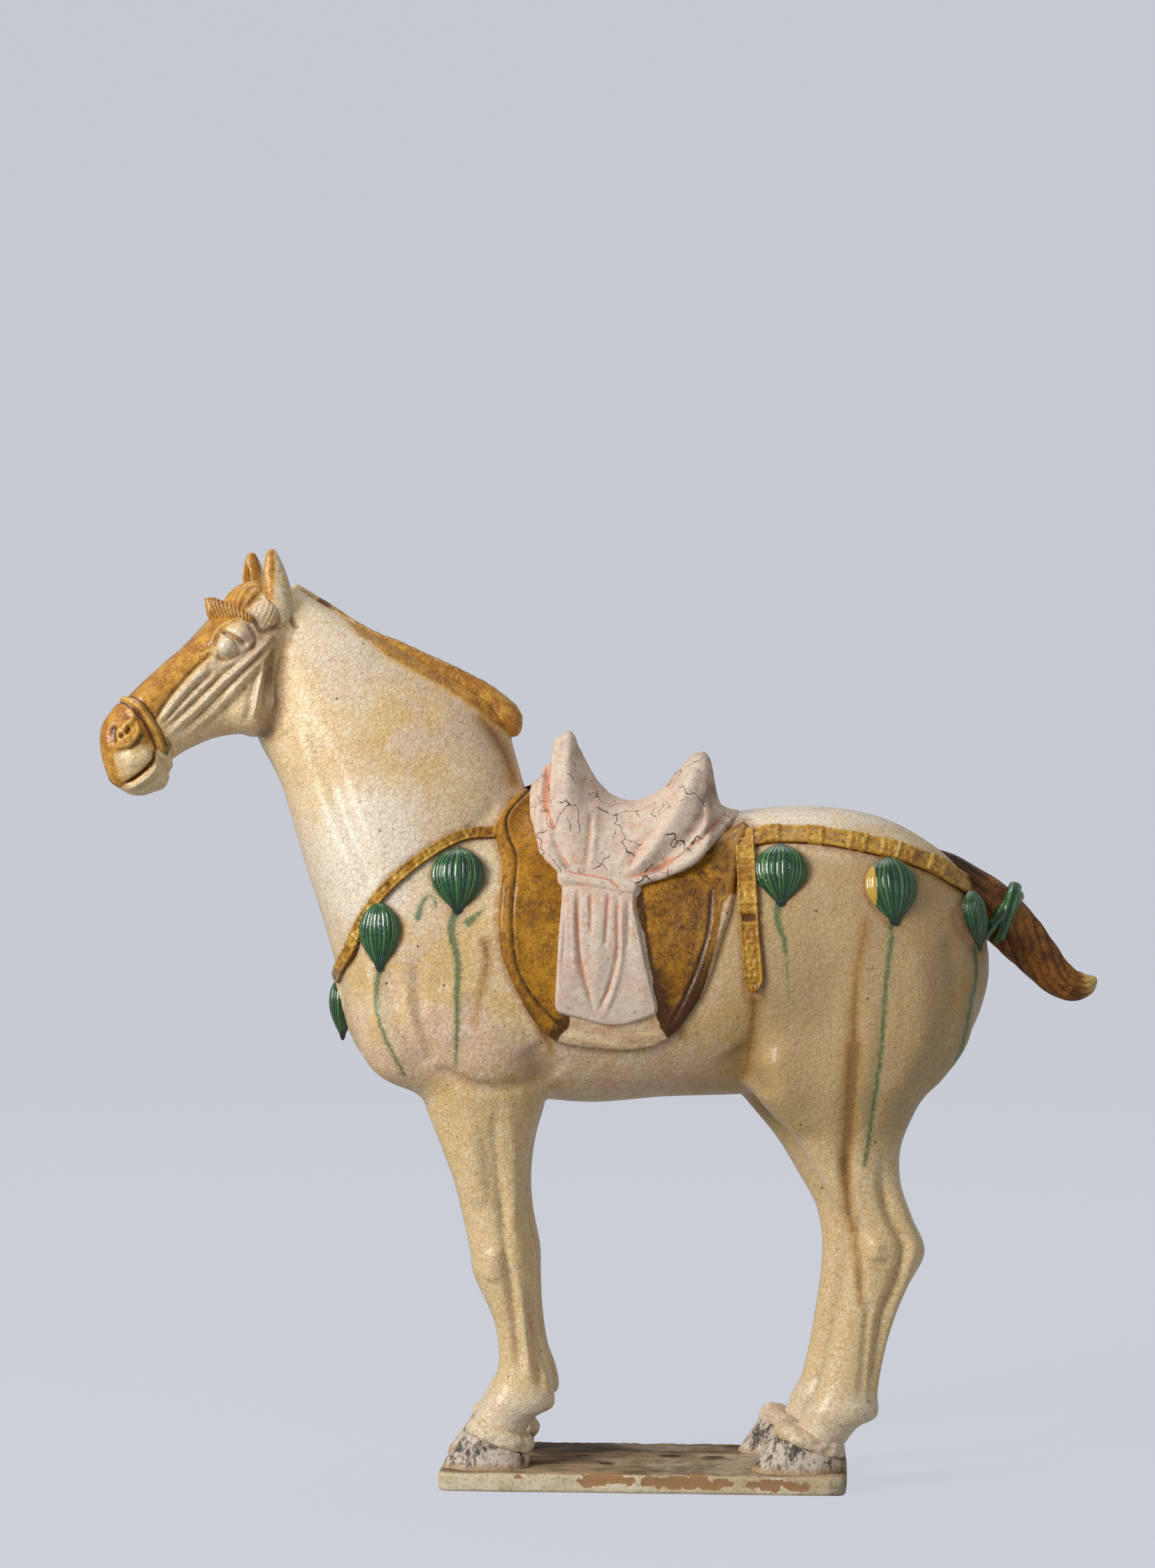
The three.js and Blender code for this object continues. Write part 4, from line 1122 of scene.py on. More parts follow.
body_paint = cream_glaze()
flap_paint = amber_glaze("flap_glaze", tone(184, 128, 26), tone(150, 98, 16), tone(66, 36, 6))
strap_paint = amber_glaze("strap_glaze", tone(210, 164, 66), tone(176, 122, 34), tone(84, 46, 14))
tail_paint = amber_glaze("tail_glaze", tone(158, 100, 26), tone(108, 60, 16), tone(36, 18, 5))
tassel_paint = green_glaze()
slip_paint = saddle_slip()
hoof_paint = hoof_pigment()
slab_paint = slab_slip()
eye_paint = eye_glaze()


# The body


def face_normals_to_points(points, faces):
    """Normals at the points of a mesh of quads and odd faces."""
    normal = np.zeros_like(points)
    by_size = {}
    for f in faces:
        by_size.setdefault(len(f), []).append(f)
    for ring in by_size.values():
        ring = np.array(ring)
        a = points[ring[:, 2]] - points[ring[:, 0]]
        b = points[ring[:, -1]] - points[ring[:, 1]]
        n = np.cross(a, b)
        for c in range(3):
            for k in range(ring.shape[1]):
                normal[:, c] += np.bincount(ring[:, k], n[:, c], len(points))
    return normal / np.maximum(np.linalg.norm(normal, axis=1), 1e-9)[:, None]


def renumbered(count, used):
    """New numbers for the points that are used, by their old ones."""
    index = np.full(count, -1)
    index[used] = np.arange(len(used))
    return index


def pinned_normals(obj, normals):
    obj.data.normals_split_custom_set_from_vertices(normals.tolist())


def body_layers(points, normals, hollow):
    """Where each glaze and stain lies on the body, and where shade is painted on it; its far side is
    the near one, a little bent.
    """
    side_view = points[:, [0, 2]].copy()
    far = points[:, 1] > 0
    warp = np.column_stack([wander(points, 60, 5) * 3, wander(points, 70, 6) * 6])
    side_view[far] += warp[far]
    outer = (np.abs(points[:, 1]) > 8) | (points[:, 0] < -150)
    inner_leg = (points[:, 2] < 225) & (np.abs(normals[:, 1]) < 0.2) & (np.abs(points[:, 1]) < 30)
    runs_here = outer & ~inner_leg
    green = np.where(runs_here, run_field(side_view, GREEN_RUNS), NO_GLAZE)
    amber_run = np.where(runs_here, run_field(side_view, AMBER_RUNS), NO_GLAZE)
    q = to_head(points)
    on_head = about_head(q, -16, 30, -42, 52)
    mane = np.clip(inside_depth(side_view, MANE_GLAZE) * 0.8, NO_GLAZE, 8)
    mane = np.where(np.abs(points[:, 1]) < 34, mane, NO_GLAZE)
    amber = np.where(on_head, amber_on_head(q), mane)
    plate = inside_depth(q[:, :2], PLATE) * 5 + 6
    green = np.where(on_head, np.clip(plate, NO_GLAZE, 9), green)
    x, y, z = points.T
    leg = smooth(z, 245, 200)
    green = green - 12 * smooth(x, 172, 184) * smooth(np.abs(y), 36, 26) * (1 - on_head)
    chest = smooth(x, -165, -195) * smooth(z, 300, 340) * smooth(z, 500, 440)
    throat = bell(x + 225 - (z - 420) * 0.35, 14) * smooth(z, 330, 380)
    yellow = np.clip(leg + 0.8 * chest + 0.5 * throat, 0, 1)
    croup = smooth(z, 386, 400) * smooth(x, 48, 60)
    crest = smooth(z, 470, 500) * smooth(x, -225, -200)
    # A pale patch low on the neck: partly the glaze's own paler tone, partly a painted highlight on
    # the soft ridge there
    low_neck = 1.5 * bell(x + 165, 36, z - 372, 42)
    low_neck += 0.25 * bell(x + 175, 40, z - 450, 55)
    ankle = smooth(z, 66, 50)
    pale = np.clip(croup + 0.45 * crest + low_neck + 0.6 * ankle, 0, 1)
    # Painted shade: the rear half, the thigh and the underside of the belly darkened, away from the
    # key light
    thigh_shade = 0.5 * bell(x - 112, 46, z - 262, 40)
    rear_shade = 0.9 * smooth(x, -10, 80) * smooth(z, 175, 235) * smooth(z, 390, 362)
    chest_bare = bell(x + 120, 60, z - 262, 34)
    belly = bell(x - 20, 85, z - 240, 24)
    bare = np.clip(0.8 * chest_bare + 0.7 * belly, 0, 1) * (1 - leg)
    girth_shade = smooth(z, 268, 236) * smooth(x, -70, -30) * smooth(z, 205, 225)
    behind_jaw = bell(near_line(side_view, THROAT)[0], 8.5)
    outer_side = smooth(np.abs(points[:, 1]), 12, 26) * smooth(np.abs(normals[:, 1]), 0.1, 0.4)
    return {
        "green_run": green,
        "amber_run": amber_run,
        "amber": amber,
        "yellow": yellow,
        "pale": pale,
        "bare": bare,
        "shade": np.clip(rear_shade + thigh_shade + 0.2 * girth_shade, 0, 1),
        "hollow": hollow,
        # painted shade where the horse's forms close in, with the painted shadow behind the jaw
        "shut": occlusion(points, normals) + 0.6 * behind_jaw,
        # partly painted shade along the tack's edges
        "rim": near_tack(side_view) * outer_side,
    }


def build_body():
    points, quads = surface_nets(body, *BODY_BOX, BASE_STEP)
    points, normals = settle(body, points, 2)
    quads = outward(points, quads, normals)
    points, quads, _ = split_quads(points, quads, np.ones(len(quads), bool))
    face = about_head(to_head(points[quads].mean(1)), *FACE_BOX)
    points, quads, odd = split_quads(points, quads, face)
    points, normals = settle(body, points, 1)
    points = points + normals * relief(points, normals)[:, None]
    soft = softened(points, quads)
    faces = quads.tolist() + odd
    normals = face_normals_to_points(points, faces)
    spread = np.where(about_head(to_head(points), *FACE_BOX), 0.5, 2.4)
    hollow = hollowness(points, normals, soft, spread, -3)
    layers = body_layers(points, normals, hollow)
    middle = np.array([points[f].mean(0) for f in faces])
    head_piece = about_head(to_head(middle), *FACE_BOX)
    rear = ~head_piece & (middle[:, 0] > 10)
    front = ~head_piece & ~rear
    for name, chosen in (("body_head", head_piece), ("body_rear", rear), ("body_front", front)):
        mine = [faces[i] for i in np.flatnonzero(chosen)]
        used = np.unique(np.concatenate([np.array(f) for f in mine]))
        index = renumbered(len(points), used)
        own = [index[np.array(f)] for f in mine]
        cut = {key: values[used] for key, values in layers.items()}
        obj = mesh_object(name, points[used], own, body_paint, cut)
        pinned_normals(obj, normals[used])
        if name == "body_front":
            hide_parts("sancai_horse")


def flank(xz, side):
    """How far out the body's surface lies at places in the side view, in millimetres."""
    xz = np.asarray(xz, float)
    inside = np.zeros(len(xz))
    found = np.zeros(len(xz), bool)
    for y in np.arange(110, 0, -3.0):
        open_ones = np.flatnonzero(~found)
        if not len(open_ones):
            break
        p = np.column_stack([xz[open_ones, 0], np.full(len(open_ones), side * y), xz[open_ones, 1]])
        hit = open_ones[body(p) < 0]
        inside[hit] = y
        found[hit] = True
    low, high = inside, inside + 3.0
    for _ in range(9):
        middle = (low + high) / 2
        within = body(np.column_stack([xz[:, 0], side * middle, xz[:, 1]])) < 0
        low = np.where(within, middle, low)
        high = np.where(within, high, middle)
    return side * (low + high) / 2


def on_flank(xz, side, rise):
    """Points over the body's side, raised along its normal, with the normals."""
    xz = np.asarray(xz, float)
    p = np.column_stack([xz[:, 0], flank(xz, side), xz[:, 1]])
    normal = gradient(body, p)
    normal[:, 1] = np.where(np.abs(p[:, 1]) < 1, side, normal[:, 1])
    normal /= np.maximum(np.linalg.norm(normal, axis=1), 1e-6)[:, None]
    return p + normal * np.asarray(rise)[:, None], normal


def inside_depth(p, outline):
    """Distance inside a closed outline, negative outside it."""
    outline = np.asarray(outline, float)
    ring = np.vstack([outline, outline[:1]])
    distance = near_line(p, ring)[0]
    x, z = p.T
    odd = np.zeros(len(p), bool)
    for (ax, az), (bx, bz) in zip(ring[:-1], ring[1:]):
        crosses = (az > z) != (bz > z)
        with np.errstate(divide="ignore", invalid="ignore"):
            at = ax + (z - az) * (bx - ax) / (bz - az)
        odd ^= crosses & (x < at)
    return np.where(odd, distance, -distance)


def grid_faces(rows, columns, closed=False):
    """Quads of a grid of points, row by row; closed joins each row's end to its start."""
    across = columns if closed else columns - 1
    i, j = np.meshgrid(np.arange(rows - 1), np.arange(across), indexing="ij")
    a = (i * columns + j).ravel()
    b = (i * columns + (j + 1) % columns).ravel()
    return np.column_stack([a, b, b + columns, a + columns])


def outward(points, faces, reference):
    """Faces turned so that most of them look along the reference normals."""
    faces = np.asarray(faces)
    a, b, c, d = (points[faces[:, k]] for k in range(4))
    n = np.cross(c - a, d - b)
    return faces if (n * reference[faces[:, 0]]).sum() > 0 else faces[:, ::-1]


def closed_tube(points, centres):
    """Points and faces of a tube from rings of points about their centres, with its ends shut."""
    rows, ring = points.shape[:2]
    flat = points.reshape(-1, 3)
    faces = outward(flat, grid_faces(rows, ring, True), (points - centres).reshape(-1, 3)).tolist()
    return flat, faces + [list(range(ring)), list(range((rows - 1) * ring, rows * ring))]


def patch(name, outline, centre, rings, spokes, height, material, side, layers, tuck=4.0):
    """A piece laid over the horse's side within an outline, from rings about its centre."""
    ring = curve(np.vstack([outline, outline[:1]]), 8)[:-1]
    angle = np.unwrap(np.arctan2(*(ring - centre).T[::-1]))
    turn = np.linspace(0, 2 * math.pi, spokes, endpoint=False)
    around = angle[0] + np.sign(angle[-1] - angle[0]) * turn
    order = np.argsort(angle)
    edge = np.column_stack([np.interp(around, angle[order], ring[order, c]) for c in range(2)])
    share = 1 - (1 - np.linspace(0, 1, rings)) ** 1.5
    flat = (centre + share[:, None, None] * (edge - centre)).reshape(-1, 2)
    depth = inside_depth(flat, edge)
    depth[-spokes:] = 0
    p, n = on_flank(flat, side, height(flat, depth))
    skirt = p[-spokes:] - n[-spokes:] * tuck
    points = np.vstack([p, skirt])
    reference = np.vstack([n, n[-spokes:]])
    faces = outward(points, grid_faces(rings + 1, spokes, True)[spokes:], reference).tolist()
    fan = [[0, spokes + (j + 1) % spokes, spokes + j] for j in range(spokes)]
    first, second, third = points[fan[0]]
    if (np.cross(second - first, third - first) * n[0]).sum() < 0:
        fan = [f[::-1] for f in fan]
    fields = {k: np.concatenate([v, v[-spokes:]]) for k, v in layers(flat, depth).items()}
    mesh_object(name, points, faces + fan, material, fields)


def strap_layers(rise):
    return {
        "hollow": np.clip(2.55 - rise, -1, 1.1),
        "edge": np.clip((rise - 3.3) * 0.8, 0, 1.2),
        "bare": np.full(len(rise), -5.0),
    }


def ribbon(name, line, width, height, side, step=0.8, columns=15, tip=0.0):
    """A strap laid along a line on the horse's side; height takes mm along and a share across."""
    tuck = 3.0
    line = curve(line, 10)
    lengths = np.concatenate([[0], np.cumsum(np.linalg.norm(np.diff(line, axis=0), axis=1))])
    total = lengths[-1]
    s = np.linspace(0, total, int(total / step) + 1)
    middle = np.column_stack([np.interp(s, lengths, line[:, c]) for c in range(2)])
    way = np.gradient(middle, s, axis=0)
    way /= np.linalg.norm(way, axis=1)[:, None]
    across = np.column_stack([-way[:, 1], way[:, 0]])
    v = np.linspace(-1, 1, columns)
    half = np.full(len(s), width / 2)
    if tip:
        half *= np.sqrt(np.clip((total - s) / tip, 0.002, 1))
    flat = middle[:, None] + across[:, None] * (half[:, None] * v)[:, :, None]
    along, share = np.meshgrid(s, v, indexing="ij")
    rise = height(along.ravel(), share.ravel())
    p, n = on_flank(flat.reshape(-1, 2), side, rise)
    rows = len(s)

    def with_edges(values):
        """Values over the strap, with those of its two edges given twice."""
        grid = np.asarray(values, float).reshape(rows, columns, -1)
        return np.concatenate([grid[:, :1], grid, grid[:, -1:]], axis=1)

    points, normal = with_edges(p), with_edges(n)
    points[:, [0, -1]] -= normal[:, [0, -1]] * tuck
    points, normal = points.reshape(-1, 3), normal.reshape(-1, 3)
    faces = outward(points, grid_faces(rows, columns + 2), normal)
    fields = {key: with_edges(values).ravel() for key, values in strap_layers(rise).items()}
    mesh_object(name, points, faces, strap_paint, fields)


# Tack

# The flap's outline as (x, z), where glaze covers its front and rear, and its incised lines
FLAP = np.array([
    (-66, 417), (-71, 415), (-77, 410), (-83.5, 401), (-88, 389), (-86, 379), (-82.5, 368),
    (-83.4, 352), (-83.8, 336), (-82.8, 321), (-78.8, 308), (-72.8, 295), (-65.2, 281),
    (-57, 270.5), (-48.3, 264.9), (-31.4, 261.6), (-7.9, 260.4), (10.4, 263.8), (22, 271.5),
    (29, 281), (36, 292), (41.5, 303.5), (45.5, 316.5), (50, 330.6), (54, 342), (56.5, 355),
    (58.5, 368), (60.5, 379), (63.5, 388), (60, 394), (52, 391), (42, 382), (20, 372), (-10, 368),
    (-45, 376), (-58, 392), (-63, 406),
])
FRONT_GLAZE = np.array([
    (-60, 440), (-79, 412), (-88, 400), (-93, 388), (-87, 378), (-86, 368), (-87, 352), (-88, 336),
    (-87, 321), (-82.5, 306), (-76, 293), (-69, 280), (-62, 268), (-56, 257), (-50.5, 262),
    (-47, 270), (-41, 275), (-40, 290), (-38, 370), (-60, 440),
])
REAR_GLAZE = np.array([
    (-12, 420), (-12, 346), (-4, 344), (2, 330), (8, 300), (9, 284), (12, 275), (19, 266),
    (27, 273), (34, 288), (39.5, 303), (43.6, 317), (46.8, 333), (49, 345), (53, 351), (64, 352),
    (72, 372), (74, 420),
])
FLAP_LINE = [
    (-70, 415), (-73.7, 408), (-81.6, 395), (-79, 383), (-73.6, 373), (-73.5, 357), (-75, 339),
    (-74.1, 324), (-71.4, 309), (-66.1, 298), (-57, 286), (-47, 277),
]
REAR_LINE = [(41.7, 352), (40.6, 333), (36.8, 317.6), (31.6, 303.4), (25.1, 289), (19, 279)]
CLOTH_SHADOW = [(0, 350), (6, 311), (12, 288)]  # painted shadow that the hanging cloth casts on the flap behind its rear edge


def flap_height(flat, depth):
    edge = smooth(depth, -0.2, 2.2)
    border = smooth(flat[:, 0], 10, -20) + 0.45 * smooth(flat[:, 0], -20, 10)
    rise = 3.0 * edge + 1.0 * border * smooth(depth, 1, 4) * smooth(depth, 11, 6)
    front, rear = (near_line(flat, curve(line, 4))[0] for line in (FLAP_LINE, REAR_LINE))
    rise -= 1.1 * bell(front, 0.75) + 0.9 * bell(rear, 0.75)
    rise += 0.5 * bell(front - 2.0, 1.2) + 0.4 * bell(rear - 2.0, 1.2)
    shelf = smooth(flat[:, 1], 279, 273) * smooth(np.abs(flat[:, 0] + 14), 42, 30)
    rise += 0.25 * shelf * np.sin(depth * 0.95 + 0.12 * flat[:, 0])
    wave = np.column_stack([flat[:, 0], np.zeros(len(flat)), flat[:, 1]])
    rise += 0.35 * wander(wave, 34, 3) * edge
    return rise - 1.2 * (1 - edge)


def flap_layers(flat, depth):
    front, rear = (near_line(flat, curve(line, 4))[0] for line in (FLAP_LINE, REAR_LINE))
    low = smooth(flat[:, 1], 330, 272)
    glaze = np.maximum(inside_depth(flat, FRONT_GLAZE), inside_depth(flat, REAR_GLAZE))
    cloth_shadow = near_line(flat, CLOTH_SHADOW)[0]
    hollow = 1.0 * bell(front, 0.9) + 0.9 * bell(rear, 0.9)
    # Painted shade on the flap: the cloth's cast shadow behind its rear edge, and its rear half
    # darkened; the rest is glaze pooled low down and in the incised lines
    hollow += 0.9 * low * smooth(glaze, 14, 3) + 1.1 * bell(cloth_shadow, 1.8)
    hollow += 0.55 * smooth(flat[:, 0], -20, 30)
    edge = 0.8 * bell(depth, 1.0) * smooth(flat[:, 0], 20, -10)
    edge += 0.45 * bell(depth - 5, 3.0) * smooth(flat[:, 0], 20, 45)
    edge += 0.35 * bell(front - 2.0, 1.2) * smooth(flat[:, 1], 300, 340)
    return {"bare": np.clip(-glaze, -3, 3), "hollow": hollow, "edge": edge * (glaze > 0)}


# Folds of the hanging cloth: line as (x, z), width, height
FOLDS = [
    ([(-36.3, 353), (-36, 330), (-33.8, 311), (-28.5, 291), (-24.4, 283)], 1.3, -1.9),
    ([(-39, 353), (-38.6, 325), (-37, 300)], 1.8, 0.7),
    ([(-29, 351), (-28.4, 338), (-28.4, 327)], 1.2, -1.5),
    ([(-18.5, 351), (-18.8, 338), (-20, 320)], 1.2, -1.5),
    ([(-13, 350), (-12.8, 333), (-12.9, 316), (-18, 297), (-24.4, 283)], 1.2, -1.7),
    ([(-10.4, 350), (-10.2, 330), (-10.6, 312), (-15, 295), (-21.5, 281)], 1.5, 1.3),
    ([(-6.5, 348), (-6.2, 334), (-6.5, 318)], 1.3, -1.0),
    ([(-44.3, 350), (-44, 330), (-44.6, 308)], 1.2, -0.8),
    ([(-24, 340), (-24, 315), (-24.5, 296)], 4, 1.0),
    ([(-41, 318), (-40, 295)], 4, 0.6),
    ([(-2, 320), (2, 300), (4, 288)], 4, 0.8),
]


def cloth_height(flat, depth):
    edge = smooth(depth, -0.3, 2.8)
    rise = 5.4 + 1.2 * smooth(flat[:, 1], 300, 345)
    rise = rise + line_relief(flat, FOLDS)
    return rise * (0.35 + 0.65 * edge)


def cloth_layers(flat, depth):
    cut = -line_relief(flat, [f for f in FOLDS if f[2] < 0])
    near_knot = smooth(flat[:, 1], 338, 352)
    return {
        "hollow": cut * 0.38 + 0.3 * near_knot,
        "dirt": 0.4 * bell(depth, 1.4) - 0.2,
        "cracked": np.zeros(len(flat)),
    }


# Outlines of the hanging cloth and of the knot above it, as (x, z)
CLOTH = np.array([
    (-46.5, 356), (-46.2, 345), (-47.6, 330), (-49, 312), (-49.9, 295), (-49.9, 286), (-46.6, 282),
    (-38, 279.5), (-28, 277), (-18, 274.8), (-8, 275.5), (2, 278.5), (9.5, 281.5), (11.5, 285),
    (10.8, 291), (7.8, 302), (5, 314), (1.5, 330), (-1.6, 343), (-3, 352), (-20, 356),
])
KNOT = np.array([
    (-49, 364), (-46.5, 366), (-38, 363.5), (-26, 361.5), (-12, 360), (-2, 358), (0.5, 353.5),
    (-1.5, 349), (-8, 348), (-20, 350), (-32, 352.5), (-43, 354), (-47, 355.5), (-49, 359),
])
KNOT_GROOVE = [(-45, 361.5), (-30, 359.5), (-18, 357), (-12, 352.5)]


def knot_height(flat, depth):
    groove = near_line(flat, KNOT_GROOVE)[0]
    return 4.0 + 4.2 * smooth(depth, -0.5, 3.5) - 1.0 * bell(groove, 0.8)


def knot_layers(flat, depth):
    groove = near_line(flat, KNOT_GROOVE)[0]
    return {
        "hollow": 0.9 * bell(groove, 1) + 0.5 * bell(depth, 1),
        "dirt": 0.7 * bell(groove, 0.6) - 0.3,
        "cracked": np.zeros(len(flat)),
    }


def strap_edge(share, at, height, wide):
    """Height of a strap's plain surface, with a ridge along both edges and rounded corners."""
    across = np.abs(share)
    return 2.1 + height * bell(across - at, wide) - 1.2 * smooth(across, 0.93, 1.0)


def plaques(starts, length):
    """Heights of a strap with square plaques, each framed and with a round boss."""

    def height(along, share):
        rise = strap_edge(share, 0.86, 0.9, 0.14)
        for start in starts:
            u = (along - start) / length
            inside = smooth(u, -0.03, 0.03) * smooth(u, 1.03, 0.97)
            frame = np.maximum(bell(u, 0.09), bell(u - 1, 0.09))
            rise += 1.0 * frame * smooth(np.abs(share), 1.0, 0.9)
            r = np.hypot((u - 0.5) * length, share * 4.6)
            petals = 0.35 * np.cos(4 * np.arctan2(share * 4.6, (u - 0.5) * length))
            ring = 0.7 * bell(r - 3.2, 0.8) * (1 + petals)
            rise += inside * (0.7 + bell(r, 1.5) + ring)
        return rise

    return height


# Lines of the three straps on each side, as (x, z)
BREAST = [
    (-185.5, 299.0), (-183, 302.5), (-178.6, 308.5), (-171.6, 319.0), (-164.6, 333.3), (-156, 347),
    (-147, 357.5), (-136, 367.3), (-124.5, 375.8), (-114, 382), (-103.4, 386.2), (-92, 387),
    (-82, 387),
]
CRUPPER = [
    (50, 381), (64.7, 383.6), (82, 385.7), (108, 384.3), (133, 379.7), (151, 375), (171, 367.4),
    (183, 360.5), (196, 352.5), (202, 347),
]
HANGING = [(60.2, 388.6), (61.2, 378), (62, 366), (63, 350), (64.2, 331), (66, 311), (66.8, 295.5)]


def breast_height(along, share):
    """A band with uneven ridges and lumps across it."""
    rng = np.random.default_rng(4)
    places = np.cumsum(rng.uniform(5.0, 10.0, 24))
    rise = 1.9 + 0.7 * bell(np.abs(share) - 0.8, 0.2)
    for at, tall, slant in zip(places, rng.uniform(0.5, 1.5, 24), rng.uniform(-1.2, 1.2, 24)):
        rise += tall * bell(along - at + slant * share, 0.9)
        rise += 0.9 * tall * bell(along - at - 3.2, 1.6, share - 0.3 * slant, 0.5)
    return rise - 1.2 * smooth(np.abs(share), 0.9, 1)


def hanging_height(along, share):
    """Two plaques, an open frame, then pairs of beads, with bars between."""
    top = plaques([6.5, 31.5], 11.5)(along, share)
    rim = strap_edge(share, 0.84, 1.1, 0.14)
    bead_at = (along - 57.5) % 7.6 - 3.8
    beads = bell(bead_at, 1.7, (np.abs(share) - 0.34) * 5.8, 1.5)
    beads += 0.8 * bell(bead_at - 3.8, 1.2, share * 5.8, 1.5)
    bars = sum(bell(along - b, 1.1) for b in (2.5, 22.5, 27.5, 47, 54.5))
    opening = bell(along - 50.7, 2.4)
    low = np.where(along < 56, rim - 0.9 * opening, rim + 1.4 * beads)
    rise = np.where(along < 45.5, top, low)
    return rise + 1.1 * bars * smooth(np.abs(share), 1.0, 0.88)


# A tassel from its top to its tip: share of the height, share of the half-width
TASSEL_PROFILE = np.array([
    (0.0, 0.02), (0.04, 0.30), (0.1, 0.56), (0.2, 0.83), (0.32, 0.97), (0.44, 1.0), (0.56, 0.93),
    (0.68, 0.76), (0.8, 0.5), (0.9, 0.25), (0.95, 0.19), (0.98, 0.2), (1.0, 0.08),
])


def tassel(name, x, z, side, tall, half, lean=0.0, amber_side=False):
    """A glazed tassel: a flattened onion with its point down and fine grooves from end to end."""
    rows, columns = 26, 168
    t = np.linspace(0, 1, rows)
    radius = np.interp(t, *curve(TASSEL_PROFILE).T) * half
    a = np.linspace(0, 2 * math.pi, columns, endpoint=False)
    rng = np.random.default_rng(int(abs(x) * 7 + z))
    uneven = rng.uniform(-0.22, 0.22, TASSEL_GROOVES)
    centres = (np.arange(TASSEL_GROOVES) + uneven) * 2 * math.pi / TASSEL_GROOVES
    gap = np.abs((a[:, None] - centres + math.pi) % (2 * math.pi) - math.pi).min(1)
    cut = bell(gap, 0.034)
    fade = smooth(t, 0.0, 0.1) * smooth(t, 1.02, 0.93)
    r = radius[:, None] * (1 - 0.07 * cut * fade[:, None])
    across = r * np.cos(a)
    out = r * np.sin(a) * 0.56
    up = (0.5 - t)[:, None] * tall
    across = across + lean * (t[:, None] - 0.5) * tall
    if side == 0:
        origin = np.array([-183.0, 0, z])
        normal = np.array([-1.0, 0, 0])
    else:
        p, n = on_flank([(x, z)], side, [1.0])
        origin, normal = p[0], n[0]
        normal = normal * [1, 1, 0.6]
        normal /= np.linalg.norm(normal)
    high = np.array([0, 0, 1.0]) - normal * normal[2]
    high /= np.linalg.norm(high)
    right = np.cross(high, normal)
    points = origin + across[..., None] * right + up[..., None] * high + out[..., None] * normal
    points, faces = closed_tube(points, origin + up[..., None] * high)
    band = bell(gap - 0.085, 0.03)
    tint = np.clip(0.35 + 0.4 * np.sin(a * 9 + x) + 0.3 * np.sin(a * 23 + z), 0, 1)
    hollow = cut * fade[:, None] * 1.1 + smooth(t, 0.72, 1.0)[:, None] * 0.75
    side_bare = np.zeros((rows, columns))
    if amber_side and side < 0:
        side_bare = smooth(across / half, -0.62, -0.78) * smooth(t, 0.95, 0.7)[:, None]
    fields = {
        "hollow": hollow.ravel(),
        "edge": ((band * tint * 1.5 + 0.25) * fade[:, None]).ravel(),
        "bare": side_bare.ravel(),
    }
    mesh_object(name, points, faces, tassel_paint, fields)


# Each tassel: x, z, height, half-width, lean, and whether amber has run over its front edge
TASSELS = [
    (-152.9, 326.5, 41, 12.8, 0.02, False),
    (-107.3, 358.9, 41, 16.2, 0.0, False),
    (82.2, 362.5, 38.5, 15.6, 0.04, False),
    (146.3, 353.3, 41.5, 15.6, 0.02, True),
    (195, 335.5, 37.5, 12.2, 0.05, False),
]


def build_tack():
    crupper_height = plaques([22, 47.5, 72.5, 91.5, 101, 121], 9.2)
    for side, word in ((-1, "near"), (1, "far")):
        middle = np.array([-12.0, 345.0])
        patch(f"flap_{word}", FLAP, middle, 48, 384, flap_height, flap_paint, side, flap_layers)
        middle = np.array([-20.0, 315.0])
        patch(f"cloth_{word}", CLOTH, middle, 44, 300, cloth_height, slip_paint, side, cloth_layers, 7)
        middle = np.array([-24.0, 357.0])
        patch(f"knot_{word}", KNOT, middle, 20, 200, knot_height, slip_paint, side, knot_layers, 8)
        ribbon(f"breast_strap_{word}", BREAST, 6.8, breast_height, side)
        ribbon(f"crupper_{word}", CRUPPER, 9.3, crupper_height, side)
        ribbon(f"hanging_strap_{word}", HANGING, 11.8, hanging_height, side, 0.6, 19, 7)
        for i, (x, z, *shape) in enumerate(TASSELS):
            tassel(f"tassel_{word}_{i + 1}", x, z, side, *shape)
    tassel("tassel_front", 0, 281.5, 0, 40, 14.5)


def field_piece(name, field, box, step, material, stand_out=None, layers=None, keep_under=2.5):
    """A piece meshed from its own field inside a box, without what lies deeper in the body."""
    points, quads = surface_nets(field, *box, step)
    points, normals = settle(field, points, 2)
    quads = outward(points, quads, normals)
    if keep_under is not None:
        seen = body(points) > -keep_under
        quads = quads[seen[quads].any(1)]
    points, quads, _ = split_quads(points, quads, np.ones(len(quads), bool))
    points, normals = settle(field, points, 1)
    if stand_out is not None:
        points = points + normals * stand_out(points, normals)[:, None]
    soft = softened(points, quads)
    used = np.unique(quads)
    quads = renumbered(len(points), used)[quads]
    points, soft = points[used], soft[used]
    normals = face_normals_to_points(points, quads.tolist())
    hollow = hollowness(points, normals, soft, 0.4 * step, -2)
    fields = {"hollow": hollow}
    if layers is not None:
        fields.update(layers(points, normals, hollow))
    pinned_normals(mesh_object(name, points, quads, material, fields), normals)


# Saddle

